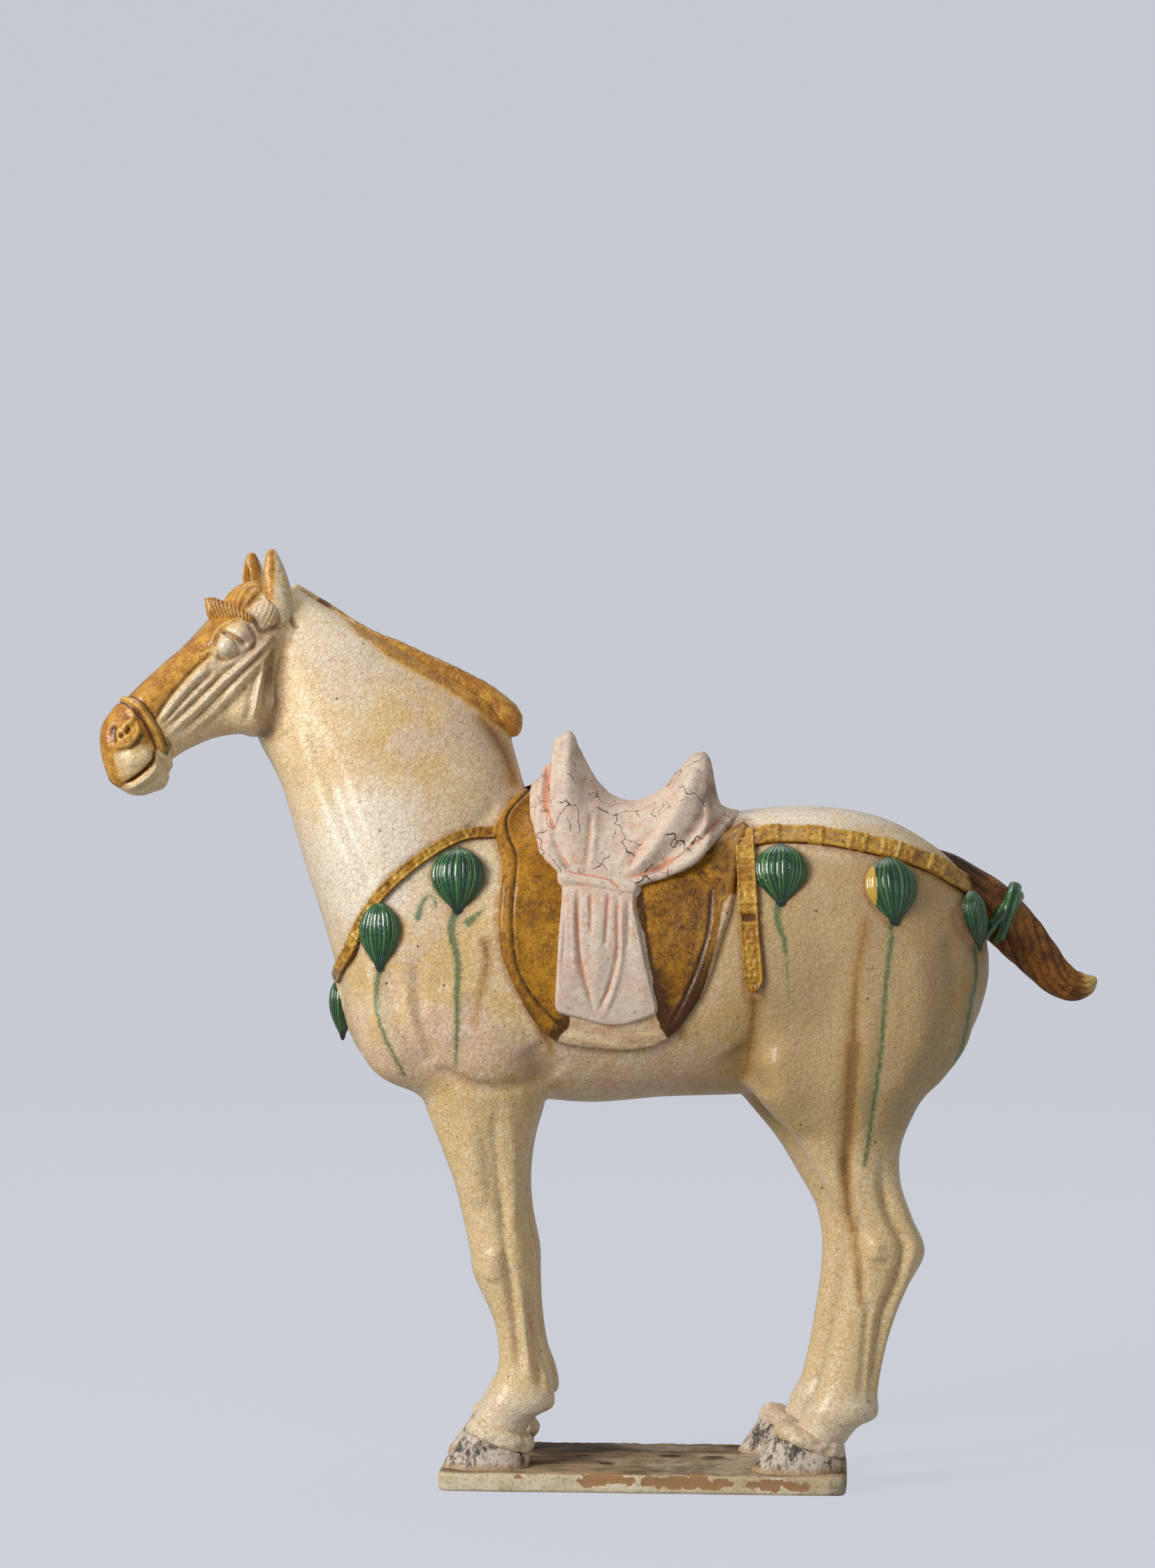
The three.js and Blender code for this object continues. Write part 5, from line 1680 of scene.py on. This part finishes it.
# Its stations, as for the trunk, then its lower edge and its folds in the side view
SADDLE = np.array([
    (-76.5, 411, 250, 299, 55, 0, 2), (-68.5, 416.5, 250, 299, 63, 0, 1.9),
    (-63.6, 420, 250, 299, 67, 0, 1.85), (-61.2, 426.5, 250, 299, 69, 0, 1.8),
    (-56.6, 430, 250, 299, 71, 0, 1.75), (-54.8, 441.5, 250, 299, 72, 0, 1.7),
    (-51, 445, 250, 299, 72, 0, 1.65), (-45, 447.5, 250, 299, 72, 0, 1.65),
    (-39.5, 437.5, 250, 299, 72, 0, 1.75), (-31.5, 422, 250, 299, 72, 0, 1.9),
    (-21.5, 410.5, 250, 299, 72, 0, 2.05), (-9.5, 406.5, 250, 299, 72.5, 0, 2.1),
    (2.5, 409, 250, 300, 73, 0, 2.05), (13.5, 417, 250.5, 301, 73.5, 0, 1.95),
    (23.5, 429, 250.5, 302, 74, 0, 1.85), (31.5, 435, 250.5, 303.5, 74, 0, 1.8),
    (38.5, 431.5, 250.5, 303.5, 74, 0, 1.85), (43, 409, 250.5, 303.5, 74, 0, 2),
    (47.5, 402.5, 250.5, 303.5, 73, 0, 2.1), (57.5, 400, 250.5, 304.5, 70, 0, 2.1),
])
SADDLE_EDGE = np.array([
    (-93.5, 470), (-77.5, 424), (-69, 415), (-67.5, 400), (-64, 388), (-59.8, 375.5),
    (-46.9, 362.5), (-38, 357), (-20, 355), (-3, 355), (5, 358.5), (15.4, 361), (25, 365.5),
    (33.5, 370.4), (46.2, 384.6), (56.8, 397.6), (61, 405), (66, 430), (76.5, 470),
])
SADDLE_RELIEF = [
    ([(31, 430), (30, 418), (25, 405), (18.6, 393), (12, 382), (3, 371), (-6, 361)], 4.4, 4.6),
    ([(40, 414), (35, 399), (27, 387), (17, 376), (6, 367)], 4.2, -3.6),
    ([(-13, 361), (2.2, 363.9), (20.2, 372.9), (30, 380.5), (39.4, 388.5), (49, 400)], 1.3, -1.8),
    ([(-60, 432), (-58, 422), (-57, 412), (-56, 402)], 2.6, -3.0),
    ([(-64, 426), (-62, 414), (-61, 404), (-58, 392)], 2.6, 1.6),
    ([(-57, 405), (-54, 396), (-50, 388)], 1.6, -1.8),
    ([(-42, 436), (-38, 424), (-33, 412), (-28, 402)], 5, -1.2),
    ([(-30, 400), (-30.5, 385), (-32, 366)], 1.4, -1.0),
    ([(-27, 400), (-27.5, 385), (-29, 366)], 1.8, 0.8),
    ([(-8, 366), (-2, 378), (6, 388), (12, 396)], 1.6, -0.9),
    ([(-14, 366), (-9, 376), (-2, 386)], 1.6, 0.8),
    ([(-46, 366), (-51, 376), (-57, 388)], 2, 1.2),
    ([(-40, 362), (-45, 372), (-52, 384)], 1.6, -1.0),
    ([(-10, 364), (-4, 366), (4, 370)], 1.6, 1.0),
]
saddle_loft = Loft(SADDLE, X_AXIS)


def saddle_field(p):
    d = saddle_loft(p)
    near = d < 9
    cut = np.full(len(p), -20.0)
    cut[near] = -inside_depth(p[near][:, [0, 2]], SADDLE_EDGE)
    return -merged(-d, -cut, 3.0)


def saddle_relief(p, normal):
    view = p[:, [0, 2]]
    on_side = smooth(np.abs(normal[:, 1]), 0.05, 0.4)
    out = on_side * line_relief(view, SADDLE_RELIEF)
    edge = near_line(view, SADDLE_EDGE[1:-1])[0]
    out += on_side * (0.9 * bell(edge - 3, 2.2) - 0.8 * bell(edge - 7, 2.0))
    return out + 0.35 * wander(p, 22, 8) + 0.2 * wander(p, 9, 9)


def saddle_layers(p, normal, hollow):
    view = p[:, [0, 2]]
    cut = -line_relief(view, [f for f in SADDLE_RELIEF if f[2] < 0 and f[1] < 2.2])
    front = bell(p[:, 0] + 60, 9) * smooth(p[:, 2], 385, 405)
    top = smooth(p[:, 2], 425, 440)
    rear = smooth(p[:, 0], -46, -36) * smooth(p[:, 2], 400, 420)
    shadow = bell(near_line(view, [(40, 412), (35, 398), (25, 385)])[0], 6)
    return {
        "hollow": 0.3 * hollow + 0.35 * cut + 0.45 * front,
        # painted shadow beside the cantle's ridge and painted shade behind the pommel, as well as a
        # darker top and darker hollows
        "dirt": 0.3 * top + 0.5 * shadow + 0.25 * rear + 0.15 * hollow,
        "cracked": np.ones(len(p)),
    }


def build_saddle():
    box = ((-84, -80, 345), (66, 80, 452))
    field_piece("saddle", saddle_field, box, 2.5, slip_paint, saddle_relief, saddle_layers, 3)


# Slab and hooves


def slab_field(p):
    half = np.array([SLAB[0] / 2, SLAB[1] / 2])
    flat = np.abs(p[:, :2]) - (half - 6)
    corner = np.hypot(np.maximum(flat[:, 0], 0), np.maximum(flat[:, 1], 0))
    wall = corner + np.minimum(flat.max(1), 0) - 6
    wall = wall + 0.5 * wander(p * [1, 1, 0], 46, 12)
    crown = 1.1 * (1 - (p[:, 0] / half[0]) ** 2) * (1 - (p[:, 1] / half[1]) ** 2)
    top = p[:, 2] - SLAB[2] - np.maximum(crown, 0)
    wall = np.where(wall > -8, wall, -8)
    height = np.maximum(top, -p[:, 2])
    return -merged(-wall, -height, 2.2)


# Flakes off the front edge: x, half-length, half-height; and pits in the top: x, y, radius
CHIPS = [
    (-27, 13, 4.2), (-15, 10, 3.4), (-7, 6, 2.6), (7, 9, 3.2), (20, 13, 4.4), (33, 12, 4.6),
    (45, 7, 2.8), (-72, 3, 1.8), (66, 6, 2.6), (77, 9, 3.6), (88, 8, 3.4), (96, 4, 2.2),
]
PITS = [(14, 4.5, 3.2), (41, 2.6, 3.6), (18, 16, 1.6), (-22, -20, 2.2), (60, 8, 1.4), (-38, 2, 1.8)]


def chip_depth(p):
    """Positive where the slip has flaked off the slab's front edge."""
    front = smooth(p[:, 1], -50, -52)
    best = np.full(len(p), -3.0)
    for x, wide, tall in CHIPS:
        d = 1 - np.hypot((p[:, 0] - x) / wide, (p[:, 2] - 7.6 + 0.02 * x) / tall)
        best = np.maximum(best, d * 3)
    rough = 0.9 * wander(p, 9, 21) + 0.6 * wander(p, 4, 22)
    back = smooth(p[:, 1], 50, 52) * smooth(wander(p, 40, 31), 0.35, 0.9) * 2
    return np.maximum(np.where(front > 0, best + rough, -3) * front, back - 0.5)


def slab_relief(p, normal):
    chip = smooth(chip_depth(p), 0, 0.5)
    up = smooth(normal[:, 2], 0.5, 0.9)
    out = -0.55 * chip + up * (0.25 * wander(p, 16, 13) + 0.15 * wander(p, 7, 14))
    for x, y, r in PITS:
        out -= up * 1.6 * bell(np.hypot((p[:, 0] - x) / 1.6, p[:, 1] - y), r)
    return out


def slab_layers(p, normal, hollow):
    up = smooth(normal[:, 2], 0.35, 0.8)
    dirt = np.zeros(len(p))
    for x, y, r in PITS:
        dirt += up * 1.2 * bell(np.hypot((p[:, 0] - x) / 1.8, p[:, 1] - y), r * 1.1)
    # Painted shade: the top darker in the middle and towards the back, and the right end's sides
    # darker. The top is also darker round each foot, as well as in the pits.
    smear = bell(p[:, 0] + 45, 26) * smooth(p[:, 1], -45, -10)
    dirt += up * 0.4 * smooth(p[:, 1], -10, 35) + 0.5 * up * smear
    end = smooth(p[:, 0], 104, 112) * (1 - up) * 0.5
    foot = np.zeros(len(p))
    for x, y in ((-92, -LEG_SPREAD), (92, -LEG_SPREAD), (-94, LEG_SPREAD), (82, LEG_SPREAD)):
        foot = np.maximum(foot, np.exp(-((np.hypot((p[:, 0] - x) / 1.4, p[:, 1] - y) / 21) ** 6)))
    return {"top": up, "dirt": dirt + end + 0.5 * up * foot, "chip": smooth(chip_depth(p), -0.3, 0.5)}


def hoof_field(toe, heel, top_toe, top_heel, y, shift):
    """The fields of a hoof, cut off along a slope, and of the soft roll above it."""
    foot, top = (toe + heel) / 2, (top_toe + top_heel) / 2
    rows = np.array([
        (6, heel, toe, foot, 19, y, 2.3),
        (12, heel, toe, foot, 19, y, 2.3),
        (36, top_heel + 0.5, top_toe - 1, top, 15.5, y, 2.2),
        (52, top_heel, top_toe + 5, top, 12, y, 2.2),
    ])
    rows[:, 1:4] += shift
    wall = Loft(rows, Z_AXIS, 10)
    slope = -0.36

    def plane(p):
        return (p[:, 2] - 31.5 - slope * (p[:, 0] - top_toe - shift)) / math.hypot(1, slope)

    def hoof(p):
        return np.maximum(wall(p), plane(p))

    def roll(p):
        return -merged(-(wall(p) - 2.1), -(np.abs(plane(p) - 4.4) - 5.0), 5.5)

    return hoof, roll


def hoof_relief(p, normal):
    return 0.3 * wander(p, 9, 15) + 0.14 * wander(p, 4, 16)


def roll_relief(p, normal):
    return 0.9 * wander(p, 14, 17) + 0.4 * wander(p, 6, 18)


def plain_layers(count, **changes):
    """Layers of the body's glaze with nothing drawn on them, apart from the changes."""
    layers = {key: NO_GLAZE for key in ("green_run", "amber_run", "amber")}
    layers.update({key: 0.0 for key in ("yellow", "pale", "bare", "shade", "shut", "rim")})
    layers.update(changes)
    return {key: np.full(count, value) for key, value in layers.items()}


def roll_layers(p, normal, hollow):
    return plain_layers(len(p), yellow=0.15, pale=0.45, bare=0.42)


def build_feet():
    # name, the hoof's toe and heel below and above, side, shift along X
    feet = [
        ("fore_near", -119, -68, -101.5, -67.5, -LEG_SPREAD, 0),
        ("fore_far", -119, -68, -101.5, -67.5, LEG_SPREAD, FAR_FORELEG[0]),
        ("hind_near", 64.5, 116.5, 81, 117, -LEG_SPREAD, 0),
        ("hind_far", 64.5, 116.5, 81, 117, LEG_SPREAD, FAR_HIND_HOOF),
    ]
    for name, toe, heel, top_toe, top_heel, y, shift in feet:
        hoof, roll = hoof_field(toe, heel, top_toe, top_heel, y, shift)
        box = ((toe + shift - 5, y - 25, 8), (heel + shift + 7, y + 25, 56))
        field_piece(f"hoof_{name}", hoof, box, 2.0, hoof_paint, hoof_relief, keep_under=4)
        field_piece(f"coronet_{name}", roll, box, 1.8, body_paint, roll_relief, roll_layers, 3)
    box = ((-125, -58, -3), (125, 58, 17))
    field_piece("slab", slab_field, box, 3.4, slab_paint, slab_relief, slab_layers, None)


# Head pieces

# An ear's stations before the head is turned, as for the trunk
EAR = np.array([
    (503, -222, -235, -229, 5, 0, 2), (510, -222, -236, -229, 6, 0, 2),
    (522, -220.5, -238, -229.5, 7.4, 0, 2), (532, -221.5, -239, -230.5, 7, 0, 2),
    (543, -225, -239, -232, 5.3, 0, 2), (551, -228.5, -237.5, -233, 3.4, 0, 2),
    (556, -231.5, -235.5, -233.5, 1.2, 0, 2),
])
ear_loft = Loft(EAR, Z_AXIS, 8)


def ear_place(p, side):
    """Points moved from an ear to where its stations are."""
    return (p - HEAD_PIVOT) @ H_TURN + HEAD_PIVOT - [0, 18.5 * side, 0]


def ear_field(side):
    dent = Ball((-242.5, -2.4 * side, 529), (9.8, 3.6, 23))

    def field(p):
        q = ear_place(p, side)
        return -merged(-ear_loft(q), dent(q), 1.6)

    return field


def ear_layers(side):
    def layers(p, normal, hollow):
        q = ear_place(p, side)
        limit = -235.2 if side < 0 else -231.5
        front = limit - q[:, 0] + 0.8 * wander(p, 14, 23) + 0.1 * (q[:, 2] - 530)
        return plain_layers(len(p), amber=np.clip(front * 1.3, NO_GLAZE, 8), yellow=0.1, pale=0.45)

    return layers


def build_ears():
    for side, word in ((-1, "near"), (1, "far")):
        middle = (np.array([-230, 18.5 * side, 530]) - HEAD_PIVOT) @ H_TURN.T + HEAD_PIVOT
        box = (middle - [17, 17, 30], middle + [17, 17, 30])
        field_piece(f"ear_{word}", ear_field(side), box, 1.3, body_paint, None, ear_layers(side))


def mane_relief(p, normal):
    strokes = np.sin(1.9 * (p[:, 0] + 0.8 * p[:, 2]) + 1.4 * wander(p, 18, 24))
    combed = 0.12 * strokes * smooth(p[:, 0], -188, -170)
    return combed + 0.3 * wander(p, 26, 25) + 0.12 * wander(p, 9, 26)


def mane_layers(p, normal, hollow):
    edge = (p[:, 0] + 182) * 0.35 + 2 * wander(p, 16, 27)
    amber = np.clip(edge + 4 * smooth(p[:, 0], -184, -196), -2.0, 8)
    hollow = hollow * 0.4 + 1.6 * smooth(p[:, 0], -180, -192) + 0.2 * wander(p, 9, 28)
    return plain_layers(len(p), amber=amber, hollow=hollow, yellow=0.15, pale=0.45)


# The mane's stations, as for the trunk
MANE = np.array([
    (-211.5, 537.2, 518.5, 526.5, 3.5, -4, 2.2), (-200, 530.8, 511.5, 519.5, 4.5, -5, 2.4),
    (-188, 523.6, 503, 513, 5, -5, 2.6), (-174.5, 514, 494, 505.5, 5.5, -5, 2.8),
    (-149, 502.5, 480, 493.5, 6.5, -5, 2.8), (-124, 491, 466, 480, 7.5, -4, 2.8),
    (-98, 478.5, 450, 466, 8, -3, 2.8), (-84.5, 469, 445, 458, 9, -2, 2.4),
    (-77, 462.5, 445, 454, 7.5, -2, 2), (-74, 457.5, 450, 453.5, 3, -2, 2),
])


def build_mane():
    mane = Loft(MANE, X_AXIS, 10)
    box = ((-216, -18, 440), (-70, 12, 542))
    field_piece("mane", mane, box, 1.9, body_paint, mane_relief, mane_layers)


# The forelock's lower and upper edge, in the head's frame
TUFT_LOW = [
    (17.6, 19.5, -23.5), (21.5, 24.6, -21), (24.5, 26.8, -17), (27.5, 29, -11.5), (30.7, 32.7, -4),
    (30, 34.5, 0.5),
]
TUFT_HIGH = [
    (15.6, 20.9, -23.8), (15.4, 24.2, -23), (17.3, 31, -19), (20.1, 37.1, -14), (22.7, 42.9, -8),
    (25.6, 44.6, -1.2),
]


def build_tuft():
    """The combed forelock: a leaf that stands across the forehead."""
    low, high = curve(TUFT_LOW, 16), curve(TUFT_HIGH, 16)
    n, ring = len(low), 56
    t = np.linspace(0, 1, n)
    a = np.linspace(0, 2 * math.pi, ring, endpoint=False)
    across = (1 - np.cos(a)) / 2
    thick = np.cross(np.gradient(low, axis=0), high - low)
    thick /= np.maximum(np.linalg.norm(thick, axis=1), 1e-6)[:, None]
    swell = 2.0 * np.minimum(1, np.minimum(1.8 * t + 0.25, 4.5 * (1.02 - t)))[:, None] * np.sin(a)
    comb = np.sin(2 * math.pi * (t[:, None] * 15 - 2.2 * across - 0.6 * across**2))
    depth = swell * (1 + 0.22 * comb) + 0.25 * comb * np.sign(np.sin(a))
    lift = 0.5 * comb * smooth(across, 0.75, 1.0) * 0.05
    points = low[:, None] * (1 - across - lift)[..., None] + high[:, None] * (across + lift)[..., None]
    points = points + thick[:, None] * depth[..., None]
    points, faces = closed_tube(points, ((low + high) / 2)[:, None])
    fields = plain_layers(len(points), amber=6.0, hollow=(-comb * 0.9).ravel())
    mesh_object("forelock", from_head(points), faces, body_paint, fields)


def build_eyes():
    for side, word in ((-1, "near"), (1, "far")):
        ball = Ball(from_head([37.6, 17.0, side * 19.2]), (6.0, 5.6, 5.6), H_AXES)
        box = (ball.centre - 8, ball.centre + 8)
        field_piece(f"eye_{word}", ball, box, 0.9, eye_paint, keep_under=1.5)


# Tail

# The tail's line as (x, z), with its radius
TAIL = [
    (167.5, 366.5, 12), (179.5, 362.5, 12.5), (191.5, 354.5, 13.5), (202, 346.5, 15),
    (212.5, 336.5, 15.5), (223, 325.5, 14.5), (234.5, 312.5, 12.5), (244, 302, 10.8),
    (253.5, 296.5, 9.5), (262, 297, 7.2), (268.5, 300.5, 3.5),
]


def build_tail():
    """A tapering tail, plain as far as its tie and twisted into flutes beyond it."""
    path = curve(TAIL, 9)
    ring = 144
    way = np.gradient(path[:, :2], axis=0)
    way /= np.linalg.norm(way, axis=1)[:, None]
    s = np.concatenate([[0], np.cumsum(np.linalg.norm(np.diff(path[:, :2], axis=0), axis=1))])
    a = np.linspace(0, 2 * math.pi, ring, endpoint=False)
    past_tie = smooth(path[:, 0], 214, 224)
    turn = np.cumsum(np.gradient(s) * (0.006 + 0.030 * past_tie))
    phase = TAIL_FLUTES * (a[None] - turn[:, None])
    flute = np.abs(np.sin(phase / 2))
    strength = 0.03 + 0.105 * past_tie * smooth(path[:, 0], 268, 256)
    radius = path[:, 2:3] * (1 + strength[:, None] * (flute**0.7 - 0.75))
    end = np.sqrt(np.clip((s[-1] - s) / 5.0, 0, 1))[:, None]
    radius = radius * (0.25 + 0.75 * end)
    up = np.sin(a) * radius
    out = np.cos(a) * radius * 0.9
    x = path[:, :1] - way[:, 1:] * up
    z = path[:, 1:2] + way[:, :1] * up
    centre = np.column_stack([path[:, 0], np.zeros(len(path)), path[:, 1]])
    points, faces = closed_tube(np.stack([x, out, z], axis=2), centre[:, None])
    deep = bell(flute, 0.28) * (0.4 + 0.9 * past_tie[:, None])
    pale = smooth(path[:, 0], 255, 266)[:, None]
    root = smooth(path[:, 0], 205, 185)[:, None]
    band = 0.35 * (1 - past_tie[:, None]) * np.sin(6 * a + 1) ** 2
    fields = {
        "hollow": (deep * (1 - 0.8 * pale) + 0.7 * root + band - 0.4 * past_tie[:, None]).ravel(),
        "edge": (0.75 * pale + 0.25 * past_tie[:, None] * flute**3).ravel(),
        "bare": np.full(len(points), -5.0),
    }
    mesh_object("tail", points, faces, tail_paint, fields)


# The two turns of the tie: tilt, radius, x, z, half-width
TIE_TURNS = [(0.30, 17.4, 215.5, 339.0, 3.9), (0.72, 17.2, 210.5, 338.0, 4.3)]


def build_tie():
    """A green ribbon wound twice round the tail."""
    ring, section = 96, 20
    a = np.linspace(0, 2 * math.pi, ring, endpoint=False)[:, None]
    b = np.linspace(0, 2 * math.pi, section, endpoint=False)[None]
    cut = bell(np.abs(np.cos(b)), 0.22) * (np.sin(b) > 0)
    edge = 0.9 * bell(np.abs(np.cos(b)) - 0.55, 0.2) + 0.2
    lateral = np.array([0, 0.92, 0])
    for number, (tilt, radius, x, z, flat) in enumerate(TIE_TURNS):
        swell = 1 + 0.14 * np.sin(3 * a + number) + 0.06 * np.sin(11 * a)
        width = flat * swell * (1 - 0.16 * cut)
        axis = np.array([math.cos(tilt), 0, -math.sin(tilt)])
        high = np.array([math.sin(tilt), 0, math.cos(tilt)])

        def loop(reach):
            """Points at a distance from the tail's middle line, all the way round it."""
            start = np.array([x, 0, z]) + (reach * np.sin(a))[..., None] * high
            return start + (reach * np.cos(a))[..., None] * lateral

        points = loop(radius + width * np.sin(b) * 0.72) + (width * np.cos(b))[..., None] * axis
        way_out = (points - loop(radius)).reshape(-1, 3)
        points = points.reshape(-1, 3)
        quads = grid_faces(ring + 1, section, True) % (ring * section)
        fields = {
            "hollow": np.tile(cut * 0.9, (ring, 1)).ravel(),
            "edge": np.tile(edge, (ring, 1)).ravel(),
            "bare": np.zeros(len(points)),
        }
        faces = outward(points, quads, way_out)
        mesh_object(f"tail_tie_{number + 1}", points, faces, tassel_paint, fields)


# Camera, floor and lights


def look(obj, target):
    way = Vector(target) - obj.location
    obj.rotation_euler = way.to_track_quat("-Z", "Y").to_euler()


def build_camera():
    data = bpy.data.cameras.new("camera")
    data.sensor_fit = "HORIZONTAL"
    data.sensor_width = 36
    data.lens = 36 * CAMERA_DISTANCE / VIEW_WIDTH
    data.clip_end = 50
    camera = add_to_scene("camera", data)
    x, y, z = CAMERA_TARGET
    camera.location = (
        (x + CAMERA_DISTANCE * math.sin(CAMERA_AZIMUTH)) * MM,
        (y - CAMERA_DISTANCE * math.cos(CAMERA_AZIMUTH)) * MM,
        z * MM,
    )
    look(camera, Vector((x, y, z)) * MM)
    bpy.context.scene.camera = camera


def build_floor():
    """A pale floor that bends up into a wall all round, like a bowl."""
    glow = (*STUDIO_GLOW, 1)
    paper = Paint("studio_paper", Roughness=1.0, Emission_Color=glow, Emission_Strength=1.0)
    lighter = tuple(c * 1.015 for c in STUDIO)
    shade = paper.mix(paper.ramp(paper.noise(900, 2), 0.3, 0.7), STUDIO, lighter)
    paper.bump(paper.noise(4, 2), 0.05)
    paper.done(shade)
    profile = [(0.001, 0.0), (1.4, 0.0)]
    for b in np.linspace(0, math.pi / 2, 17):
        profile.append((FLOOR_FLAT + FLOOR_BEND * math.sin(b), FLOOR_BEND - FLOOR_BEND * math.cos(b)))
    profile.append((FLOOR_FLAT + FLOOR_BEND, FLOOR_TOP))
    turn = np.linspace(0, 2 * math.pi, FLOOR_SPOKES, endpoint=False)
    points = [(r * math.cos(a), r * math.sin(a), z) for r, z in profile for a in turn]
    faces = grid_faces(len(profile), FLOOR_SPOKES, True).tolist()
    mesh = bpy.data.meshes.new("floor")
    mesh.from_pydata(points, [], faces)
    mesh.polygons.foreach_set("use_smooth", [True] * len(faces))
    mesh.materials.append(paper.material)
    floor = add_to_scene("floor", mesh)
    floor.visible_diffuse = False
    floor.visible_glossy = False
    floor.visible_shadow = False


def build_lights():
    world = bpy.data.worlds.new("studio")
    world.use_nodes = True
    back = world.node_tree.nodes["Background"]
    back.inputs["Color"].default_value = (*WORLD, 1)
    back.inputs["Strength"].default_value = WORLD_STRENGTH
    bpy.context.scene.world = world
    for name, place, size, power, colour in LIGHTS:
        light = bpy.data.lights.new(name, "AREA")
        light.shape = "RECTANGLE"
        light.size, light.size_y = size
        light.energy = power
        light.color = colour
        obj = add_to_scene(name, light)
        obj.location = place
        look(obj, (-0.02, 0, 0.3))
    bpy.context.scene.view_settings.view_transform = "Standard"


build_body()
build_tack()
build_saddle()
build_feet()
build_ears()
build_mane()
build_tuft()
build_eyes()
build_tail()
build_tie()
build_camera()
build_floor()
build_lights()
